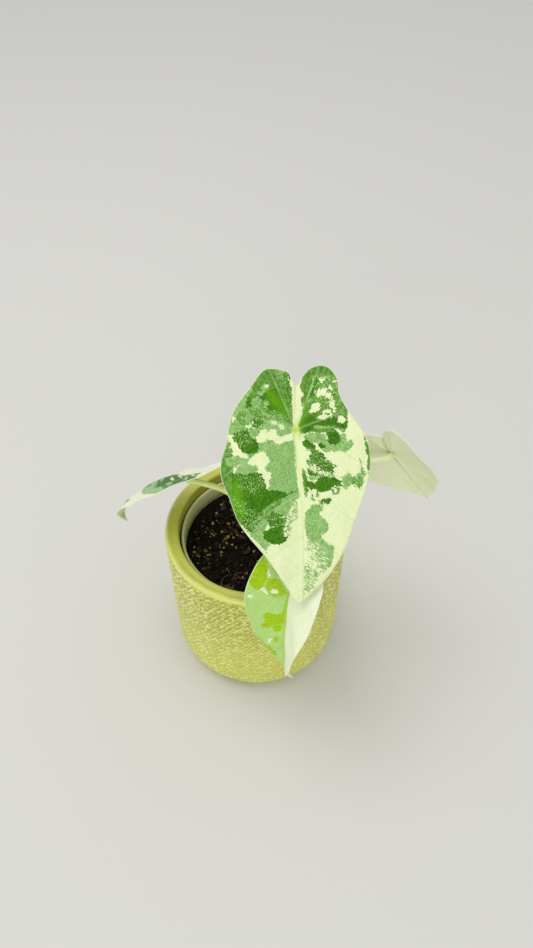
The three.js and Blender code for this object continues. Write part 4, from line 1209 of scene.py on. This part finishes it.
        ("cream", [(-11, 13.2), (-6, 10.2), (-1.6, 7.8), (-1, 8.8), (-5, 11.4), (-9.6, 13.8)]),
        ("sage", [(0, 9), (6, 5), (15, 0), (16, 2), (8, 7), (2, 11)]),
        ("sage", [(5, 14), (10, 9), (13, 8), (15, 5), (20, 4), (14, 12), (7, 18)]),
        ("sage", [(-16, 21), (-10, 18), (-7, 18.4), (-11, 21.4), (-16, 23.4)]),
        ("green", [(-13, 28), (-9, 26), (-7.6, 29), (-10, 31)]),
        ("sage", [(-7, 43), (-1, 37.4), (1.6, 41), (-3, 46)]),
        ("sage", [(-2.6, 46), (4.6, 45), (4, 50), (0.6, 54), (-2, 51)]),
    ],
    "right": [],
    "front": [
        ("sage", [(0.4, -22), (-6, -25), (-16, -20), (-24, -8), (-27, 8), (-25, 20), (-21, 34), (-17, 42),
                  (-10, 54), (-3, 66), (0, 70), (1.5, 60), (2.5, 45), (3.5, 38), (1, 30), (0.5, 15),
                  (-0.3, 8), (-0.3, 0)]),
        ("deep", [(-17, -11), (-14, -6), (-13, -1), (-12.5, 3), (-13.5, 7.5), (-17, 8), (-20, 5),
                  (-20.5, 0), (-19, -6)]),
        ("deep", [(-12, 3), (-9, 1), (-5, 2.5), (-3.5, 5), (-1, 7.5), (-3, 9.5), (-6, 10.3), (-9.5, 9.8),
                  (-12, 8)]),
        ("deep", [(-11, 20.5), (-8, 19), (-5, 20), (-2, 18.5), (-0.6, 9), (0.2, 10), (0.2, 18),
                  (-0.6, 24), (-2.5, 29.5), (-5.5, 31), (-7, 28), (-9.5, 30), (-12.5, 28.5),
                  (-10.5, 25)]),
        ("deep", [(-17, 36), (-14, 38), (-12.5, 41.5), (-10.5, 44), (-8.6, 43.2), (-7.6, 46),
                  (-5.4, 45.6), (-5.8, 49), (-8, 50.4), (-12, 49), (-16, 44)]),
        ("green", [(-6.4, 34), (-4.2, 32.8), (-3, 34), (-4, 37), (-6, 38)]),
        ("cream", [(-10, 39.5), (-8.4, 36.4), (-6.8, 35.8), (-7.6, 38.4), (-9.2, 40.6)]),
        ("cream", [(-12.8, -3), (-12, 3.5), (-11.3, 0)]),
        ("cream", [(-13.5, 6), (-11.5, 7.5), (-10, 9.8), (-13, 8.5), (-15, 7.8)]),
        ("cream", [(-9.5, 7.5), (-6, 6.5), (-5, 9), (-8, 9)]),
        ("cream", [(-20, 11.5), (-17.5, 11), (-18, 12.8), (-19.5, 12.8)]),
    ],
}


# On the main blade: where its patches break up into specks, where strokes of cream run over
# them, where the green turns a brighter lime, and the line of lime beside the midrib.
SPECKLED = [
    [(-26, -10), (-20, -12), (-8, -10), (-3, -6), (-5, -1), (-15, 1), (-22, 0), (-20, 6),
     (-28, 9), (-32, 14), (-34, 6), (-29, -2)],
    [(-12, -30), (-3, -30), (-1, -18), (0, -6), (-3, -8), (-4, -20), (-10, -26)],
    [(-29, 20.5), (-16, 19.5), (-15, 27), (-20, 30), (-28, 27)],
    [(-27, 37), (-22, 35), (-16, 38), (-18, 43), (-21, 48), (-25, 46)],
    [(-14, 38), (-5, 39), (-5, 46), (-13, 45)],
    [(8, -25), (20, -26), (24, -6), (14, -4), (10, -12)],
    [(5, 15), (9, 16), (10, 19), (4, 19)],
    [(15, 19), (31, 20), (32, 28), (16, 31), (20, 25)],
    [(5, 7), (16, 14), (18, 18), (9, 20), (5, 15)],
    [(-31, 30), (-24, 33), (-22, 38), (-29, 38)],
]
BRUSHED = [[(2, 52), (7, 50.5), (12, 54), (15, 59), (13, 65), (9, 70), (5, 78), (1, 78)],
           [(6, 15), (12, 19), (20, 21), (12, 22), (5, 19)],
           [(-8, 47), (-6, 40), (-1.6, 31), (0.6, 36), (0, 44), (-4, 50)]]
LIME_LINE = [(-1.3, 1), (-0.6, 0), (0.1, 8), (0.4, 13), (0.7, 18), (0, 18), (-0.5, 10)]
GLOWING = [
    [(-31, 24), (-28, 22), (-25.5, 27), (-26, 32), (-24.6, 38), (-26.4, 40.5), (-30, 33)],
    [(-14, -19), (-10, -19), (-6, -14), (-3, -6), (-7, -9), (-11, -12)],
    [(0.4, -4), (2.2, -3), (4, -6), (6, -8), (4, -4), (2.6, 2), (1.2, 4)],
]


def soft_zone(u, v, outlines, softness):
    """1 well inside any of the outlines, fading to 0 over a softness in mm."""
    inside = np.max([inside_distance(u, v, outline) for outline in outlines], axis=0)
    return np.clip(0.5 + inside / softness, 0, 1)


def tissue_fields(u, v, patches):
    """Distances in mm inside the ground that is sage or greener, green or deep, and deep."""
    fields = {tissue: np.full(u.shape, -FIELD_REACH) for tissue in TISSUES[1:]}
    for tissue, outline in patches:
        inside = inside_distance(u, v, outline)
        for other, field in fields.items():
            if TISSUES.index(other) <= TISSUES.index(tissue):
                fields[other] = np.maximum(field, inside)
            else:
                fields[other] = np.minimum(field, -inside)
    return [np.clip(field, -FIELD_REACH, FIELD_REACH) for field in fields.values()]


def new_group(name, inputs, outputs):
    """A node group with its sockets: its tree, what comes in and where its results go."""
    group = bpy.data.node_groups.new(name, "ShaderNodeTree")
    for direction, sockets in (("INPUT", inputs), ("OUTPUT", outputs)):
        for socket, kind in sockets.items():
            group.interface.new_socket(socket, in_out=direction, socket_type=kind)
    source = group.nodes.new("NodeGroupInput").outputs
    return group, source, group.nodes.new("NodeGroupOutput").inputs


def ragged_patch_group():
    """Gives a patch its torn, speckled border: more and finer specks near the edge."""
    group, source, end = new_group(
        "ragged_patch",
        {"Field": "NodeSocketFloat", "Flow": "NodeSocketVector", "Ragged": "NodeSocketFloat",
         "Speckle": "NodeSocketFloat"},
        {"Mask": "NodeSocketFloat"})
    torn = calc(group, "SUBTRACT", grains(group, source["Flow"], 0.33, 5, 0.66), 0.5)
    fine = calc(group, "SUBTRACT", grains(group, source["Flow"], 1.9, 2, 0.5), 0.5)
    shifted = calc(group, "ADD", source["Field"], times(group, torn, source["Ragged"]))
    speckled = calc(group, "ADD", shifted, times(group, fine, source["Speckle"]))
    wire(group, end, {"Mask": fade(group, speckled, -0.14, 0.14)})
    return group


def soft_line(tree, away, width, inner, outer):
    """1 in the middle of a line, fading to 0 between two shares of its width."""
    faded = fade(tree, away, times(tree, width, inner), times(tree, width, outer))
    return calc(tree, "SUBTRACT", 1, faded)


def vein_line_group():
    """Draws the side veins and the midrib from the mesh's own vein numbers. Side veins get
    thinner towards the edge, and the midrib towards the tip."""
    group, source, end = new_group(
        "vein_line",
        {"Veins": "NodeSocketVector", "Place": "NodeSocketVector", "Width": "NodeSocketFloat"},
        {"Side veins": "NodeSocketFloat", "Midrib": "NodeSocketFloat"})
    number, room = (axis_of(group, source["Veins"], axis) for axis in (0, 1))
    aside, along, from_edge = (axis_of(group, source["Place"], axis) for axis in (0, 1, 2))
    passed = calc(group, "FRACT", calc(group, "ADD", number, 0.5))
    nearest = calc(group, "ABSOLUTE", calc(group, "SUBTRACT", passed, 0.5))
    width = times(group, source["Width"],
                  calc(group, "ADD", fade(group, from_edge, 0.5, 7), 0.35))
    rib_width = fade(group, along, -5, 75, 1.15, 0.25)
    wire(group, end, {
        "Side veins": soft_line(group, times(group, nearest, room), width, 0.3, 1.6),
        "Midrib": soft_line(group, calc(group, "ABSOLUTE", aside), rib_width, 0.6, 1.5)})
    return group


RAGGED_PATCH = ragged_patch_group()
VEIN_LINE = vein_line_group()


def placed(tree, group, inputs):
    """A node group set into a material, and what comes out of it."""
    made = tree.nodes.new("ShaderNodeGroup")
    made.node_tree = group
    wire(tree, made.inputs, inputs)
    return made.outputs


def tissue_colour(tree, tones, place, dapple, fields, border):
    """Bare cream with each tissue's patches over it, all clouded and dappled."""
    cloud = grains(tree, place, 0.22, 4, 0.6)
    marble = grains(tree, place, 0.75, 3, 0.6)
    clouded = calc(tree, "MULTIPLY_ADD", marble, 0.7, times(tree, cloud, 0.3))

    def tone(tissue):
        light, dark = tones[tissue]
        mixed = blend(tree, fade(tree, clouded, 0.34, 0.64), light, dark)
        return blend(tree, fade(tree, dapple, 0.36, 0.84, 0, 0.75), mixed, light)

    colour = tone("cream")
    for field, tissue in zip(fields, TISSUES[1:]):
        mask = placed(tree, RAGGED_PATCH, {"Field": field, **border})["Mask"]
        colour = blend(tree, mask, colour, tone(tissue))
    return colour


def dust_and_strokes(tree, colour, tones, place, flow, zone, green, dust_strength):
    """Pale specks on the green, and strokes of cream along it where the zone is brushed."""
    dust = grains(tree, place, 1.25, 2, 0.55)
    floor = calc(tree, "MULTIPLY_ADD", calc(tree, "MINIMUM", zone, 1), -0.14, 0.69)
    sprinkled = fade(tree, calc(tree, "SUBTRACT", dust, floor), 0, 0.05)
    leafy = fade(tree, green, 0.1, 0.7, 0, dust_strength)
    colour = blend(tree, times(tree, sprinkled, leafy), colour, tones["dust"])
    long_way = add(tree, "ShaderNodeMapping", {"Vector": flow, "Scale": (1.5, 0.6, 1)})
    strokes = fade(tree, grains(tree, long_way, 1, 3, 0.6), 0.5, 0.58)
    brushed = times(tree, strokes, fade(tree, zone, 1.2, 1.9, 0, 0.8))
    return blend(tree, brushed, colour, tones["cream"][0])


def blade_skin(name, tones, ragged, speckle, vein_strength, vein_width=0.4, margin=0.5,
               dust_strength=0.85, rib_strength=0.85):
    """One side of a blade, in its own tones. Ragged is how far the patches' borders are torn,
    in mm. Speckle is how far specks stray from them, and how much further they stray where
    the mesh says that they do. Margin is how wide the painted highlight along the edge is, in mm."""
    tree, shader, material = nodes_of(name)
    place = stored(tree, "place", "Vector")
    flow = stored(tree, "flow", "Vector")
    veins = stored(tree, "veins", "Vector")
    glow = stored(tree, "glow")
    zone = stored(tree, "tissue", "Alpha")
    split = tree.nodes.new("ShaderNodeSeparateColor")
    wire(tree, split.inputs, {0: stored(tree, "tissue", "Color")})
    fields = split.outputs
    grain = grains(tree, flow, 2.6, 3, 0.6)
    ripple = calc(tree, "SINE", times(tree, axis_of(tree, veins, 2), 5.6))
    dapple = calc(tree, "MULTIPLY_ADD", ripple, 0.13, grain)

    border = {"Flow": flow, "Ragged": ragged,
              "Speckle": calc(tree, "MULTIPLY_ADD", zone, speckle[1], speckle[0])}
    colour = tissue_colour(tree, tones, place, dapple, fields, border)
    colour = blend(tree, fade(tree, glow, 0, 0.7, 0, 0.6), colour, tones["glow"])
    colour = dust_and_strokes(tree, colour, tones, place, flow, zone, fields[1], dust_strength)

    lines = placed(tree, VEIN_LINE, {"Veins": veins, "Place": place, "Width": vein_width})
    shown = fade(tree, fields[0], -0.5, 0.8, 0.35 * vein_strength, vein_strength)
    side = times(tree, lines["Side veins"], shown)
    colour = blend(tree, side, colour, tones["vein"])
    midrib = times(tree, lines["Midrib"], rib_strength)
    colour = blend(tree, midrib, colour, tones["midrib"])
    colour = blend(tree, fade(tree, glow, 0.85, 1, 0, 0.8), colour, LIME_TONE)
    near_joint = fade(tree, flat_length(tree, place), 3.4, 0.6, 0, 0.8)
    colour = blend(tree, near_joint, colour, tones["joint"])
    # A painted highlight along the blade's edge, where it curls to the light.
    near_edge = fade(tree, axis_of(tree, place, 2), margin, 0.3 * margin, 0, 0.8)
    colour = blend(tree, near_edge, colour, tones["rim"])

    net = add(tree, "ShaderNodeTexVoronoi", {"Vector": flow, "Scale": 0.75},
              feature="DISTANCE_TO_EDGE")
    raised = calc(tree, "ADD", fade(tree, net, 0, 0.22), times(tree, ripple, 0.18))
    sunk = times(tree, lines["Side veins"], 1.6)
    relief = calc(tree, "SUBTRACT", raised, sunk)
    wire(tree, shader, {
        "Base Color": colour,
        "Roughness": fade(tree, grain, 0.2, 0.8, 0.4, 0.58),
        "Specular IOR Level": 0.14,
        "Subsurface Weight": 0.35,
        "Subsurface Radius": (0.9, 1, 0.5),
        "Subsurface Scale": 1.2 * MM,
        "Normal": bumped(tree, relief, 0.1 * MM, 0.7)})
    return material


def blade_places(bm, name):
    """A grid laid over the flat blade, its columns round the edge and its rows from the joint
    out to it. Gives how far each corner lies across, along and in from the edge, in mm, its
    column, and its share of the way out."""
    left, right = OUTLINES[name]
    half = EDGE_STEPS // 2
    edge = np.concatenate([edge_line(right, half), edge_line(left, half)[::-1][1:]])
    bmesh.ops.create_grid(bm, x_segments=EDGE_STEPS, y_segments=BLADE_RINGS, size=1.0)
    grid = np.array([corner.co[:] for corner in bm.verts])
    column = np.rint((grid[:, 0] + 1) / 2 * EDGE_STEPS).astype(int)
    out = (grid[:, 1] + 1) / 2
    u, v = edge[column].T * out
    rim = (1 - out) * np.hypot(*edge[column].T)
    return u, v, rim, column, out


def blade_relief(leaf, tip, v, rim, turned, out, from_rib, from_vein):
    """For each corner: how high it is lifted off the bent surface in mm, with its wave, its
    pucker between the veins and the groove over the midrib, how thick the blade is there, and
    how far its ribs stand out below."""
    wave = leaf["wave_height"] * np.sin(leaf["waves"] * turned + leaf["wave_start"]) * out ** 3
    pucker = PUCKER * np.minimum(from_vein / 5, 1) ** 0.8 * np.minimum(rim / 7, 1)
    groove = GROOVE * np.exp(-(from_rib / 0.9) ** 2)
    groove *= np.clip(1 + v / 9, 0, 1) * np.clip(1 - v / (0.95 * tip), 0, 1)
    thickness = BLADE_THIN * (EDGE_THIN + (1 - EDGE_THIN) * np.minimum(rim / 2, 1))
    midrib = MIDRIB_DEPTH * np.exp(-(np.abs(from_rib) / 1.05) ** 2.4)
    midrib *= np.clip(1.1 - v / tip, 0.15, 1) * np.clip(1 + (v + 2) / 16, 0, 1)
    side_rib = SIDE_RIB_DEPTH * np.exp(-(from_vein / 0.55) ** 2) * np.minimum(rim / 6, 1)
    return wave + pucker - groove, thickness, midrib + side_rib


def blade_marks(name, u, v):
    """How speckled each corner is, up to 1, or 2 where it is brushed, and how it glows."""
    if name != "main":
        return np.full(u.shape, PLAIN_SPECKLE), np.zeros(u.shape)
    zone = np.maximum(soft_zone(u, v, SPECKLED, 2), 2 * soft_zone(u, v, BRUSHED, 2))
    glow = np.maximum(0.8 * soft_zone(u, v, GLOWING, 5), soft_zone(u, v, [LIME_LINE], 0.8))
    return zone, glow


def make_blade(name, leaf, top_skin, under_skin, slot):
    """A grid from the joint out to the edge, bent, waved, veined and given its underside."""
    bm = bmesh.new()
    u, v, rim, column, out = blade_places(bm, name)
    from_rib = u - leaf["drift"] * np.sin(math.pi * np.maximum(v, 0) / DRIFT_LENGTH)
    veins, rooms, steps, run = side_veins(from_rib, v, VEIN_STARTS[name])
    from_vein = np.abs((veins + 0.5) % 1 - 0.5) * np.minimum(rooms, WIDEST_ROOM)
    turned = 2 * math.pi * column / EDGE_STEPS
    lift, thickness, ribs = blade_relief(leaf, VEIN_STARTS[name][-1], v, rim, turned, out,
                                         from_rib, from_vein)
    zone, glow = blade_marks(name, u, v)
    marks = {
        bm.verts.layers.float_color.new("tissue"): (*tissue_fields(u, v, PATCHES[name]), zone),
        bm.verts.layers.float_vector.new("veins"): (veins, rooms, steps),
        bm.verts.layers.float_vector.new("flow"): (steps, FLOW_STRETCH * run,
                                                   HALVES_APART * np.sign(from_rib)),
        bm.verts.layers.float_vector.new("place"): (from_rib, v, rim),
    }
    glow_layer = bm.verts.layers.float.new("glow")
    outward = bm.verts.layers.float_vector.new("out")
    depth = bm.verts.layers.float.new("depth")

    corners = list(bm.verts)
    for layer, columns in marks.items():
        for corner, values in zip(corners, zip(*columns)):
            corner[layer] = values
    for corner, spot, value in zip(corners, blade_surface(leaf, u, v), glow):
        corner.co = spot
        corner[glow_layer] = value
    bm.normal_update()
    face = blade_axes(leaf)[2]
    if sum(corner.normal.dot(face) for corner in corners) < 0:
        bmesh.ops.reverse_faces(bm, faces=bm.faces)
        bm.normal_update()
    normals = [corner.normal.copy() for corner in corners]
    for corner, normal, high, thick, rib in zip(corners, normals, lift, thickness, ribs):
        corner.co += normal * (high * MM + thick / 2)
        corner[outward] = normal
        corner[depth] = thick + rib
    bmesh.ops.remove_doubles(bm, verts=bm.verts, dist=1e-6)

    lower = bmesh.ops.extrude_face_region(bm, geom=list(bm.faces), use_keep_orig=True)["geom"]
    for item in lower:
        if isinstance(item, bmesh.types.BMVert):
            item.co -= item[outward] * item[depth]
        elif isinstance(item, bmesh.types.BMFace):
            item.material_index = 1
    bmesh.ops.recalc_face_normals(bm, faces=bm.faces)
    piece = finished(f"leaf_blade_{name}", bm, top_skin, under_skin)
    part_of_plant(piece, slot, f"leaf_{name}")


LIME_TONE = srgb(176, 206, 60)       # of the line beside the main blade's midrib

# A light and a dark colour for each tissue, and one for each line and mark; rim is the painted highlight
# along the edge.
TOP_TONES = dict(
    cream=(srgb(230, 239, 196), srgb(216, 229, 172)),
    sage=(srgb(162, 200, 126), srgb(104, 154, 76)),
    green=(srgb(118, 166, 70), srgb(60, 116, 18)),
    deep=(srgb(78, 138, 6), srgb(34, 92, 0)),
    vein=srgb(186, 214, 140), midrib=srgb(226, 236, 180), joint=srgb(206, 228, 90),
    rim=srgb(232, 241, 200), glow=srgb(106, 172, 0), dust=srgb(172, 208, 130))
COOL_TONES = dict(
    TOP_TONES,
    cream=(srgb(238, 240, 216), srgb(228, 231, 200)),
    sage=(srgb(170, 206, 156), srgb(118, 164, 112)),
    green=(srgb(94, 146, 54), srgb(46, 102, 18)),
    deep=(srgb(66, 126, 8), srgb(26, 84, 0)),
    vein=srgb(140, 178, 110), joint=srgb(150, 184, 84), dust=srgb(206, 226, 176))
LIME_TONES = dict(
    TOP_TONES,
    cream=(srgb(236, 243, 214), srgb(226, 236, 198)),
    sage=(srgb(186, 218, 134), srgb(168, 206, 108)),
    green=(srgb(170, 204, 60), srgb(150, 190, 30)),
    deep=(srgb(172, 206, 10), srgb(144, 184, 0)),
    vein=srgb(206, 226, 160), midrib=srgb(190, 214, 90), joint=srgb(180, 208, 60),
    dust=srgb(208, 226, 130))
UNDER_TONES = dict(
    cream=(srgb(234, 239, 210), srgb(224, 230, 196)),
    sage=(srgb(196, 216, 150), srgb(176, 202, 124)),
    green=(srgb(164, 190, 104), srgb(144, 176, 88)),
    deep=(srgb(140, 176, 84), srgb(122, 160, 66)),
    vein=srgb(228, 234, 200), midrib=srgb(226, 233, 188), joint=srgb(220, 227, 158),
    rim=srgb(246, 248, 230), glow=srgb(150, 188, 80), dust=srgb(196, 214, 150))


velvet_top = blade_skin("velvet_green_top", TOP_TONES, ragged=2.0, speckle=(2.0, 3.5),
                        vein_strength=0.3)
cool_top = blade_skin("cool_green_top", COOL_TONES, ragged=2.4, speckle=(2, 3),
                      vein_strength=0.3, margin=1.0, dust_strength=0.9, rib_strength=0.2)
lime_top = blade_skin("lime_top", LIME_TONES, ragged=2.2, speckle=(2, 3), vein_strength=0.12)
pale_under = blade_skin("pale_underside", UNDER_TONES, ragged=2.4, speckle=(2, 4),
                        vein_strength=0.4, vein_width=0.5, margin=1.6, dust_strength=0.3)

make_blade("main", LEAVES["main"], velvet_top, pale_under, "blade_green")
make_blade("left", LEAVES["left"], cool_top, pale_under, "blade_green")
make_blade("right", LEAVES["right"], cool_top, pale_under, "blade_cream")
make_blade("front", LEAVES["front"], lime_top, pale_under, "blade_lime")


# ---- floor, light and camera -----------------------------------------------------------------
# A plain pale floor, so wide that its edge is the horizon. One large soft lamp hangs overhead,
# a second fills from the left, and the room is evenly bright.

FLOOR_RADIUS = 20
FLOOR_DROP = 0.05 * MM
FLOOR_TONE = srgb(214, 213, 209)

LAMP_AIM = Vector((0, 0, 0.1))
LAMP_POWER = 5
ROOM_TONE = (1, 1, 0.99, 1)
ROOM_STRENGTH = 0.75

CAMERA_PLACE = Vector((6, -230.5, 415.3)) * MM
CAMERA_TILT = 49.59                  # degrees down from level
SENSOR_WIDTH = 36                    # mm
FOCAL_PIXELS = 712
PICTURE_PIXELS = 948                 # the picture's long side


def make_floor():
    bm = bmesh.new()
    bmesh.ops.create_circle(bm, cap_ends=True, segments=96, radius=FLOOR_RADIUS)
    _, shader, material = nodes_of("pale_floor")
    shader["Base Color"].default_value = FLOOR_TONE
    shader["Roughness"].default_value = 0.7
    floor = finished("floor", bm, material)
    floor.location.z = -FLOOR_DROP


def make_lamp(name, spot, size):
    light = bpy.data.lights.new(name, "AREA")
    light.shape = "DISK"
    light.size = size
    light.energy = LAMP_POWER
    lamp = bpy.data.objects.new(name, light)
    lamp.location = spot
    lamp.rotation_euler = (LAMP_AIM - Vector(spot)).to_track_quat("-Z", "Y").to_euler()
    bpy.context.scene.collection.objects.link(lamp)


def make_room():
    room = bpy.data.worlds.new("room")
    room.use_nodes = True
    background = room.node_tree.nodes["Background"].inputs
    background["Color"].default_value = ROOM_TONE
    background["Strength"].default_value = ROOM_STRENGTH
    bpy.context.scene.world = room
    bpy.context.scene.view_settings.view_transform = "Standard"


def make_camera():
    lens = bpy.data.cameras.new("camera")
    lens.sensor_width = SENSOR_WIDTH
    lens.lens = SENSOR_WIDTH * FOCAL_PIXELS / PICTURE_PIXELS
    camera = bpy.data.objects.new("camera", lens)
    camera.location = CAMERA_PLACE
    camera.rotation_euler = (math.radians(90 - CAMERA_TILT), 0, 0)
    bpy.context.scene.collection.objects.link(camera)
    bpy.context.scene.camera = camera


make_floor()
make_lamp("overhead", spot=(-0.35, 0.1, 1.3), size=0.9)
make_lamp("fill", spot=(-0.3, -1.5, 0.45), size=1.0)
make_room()
make_camera()
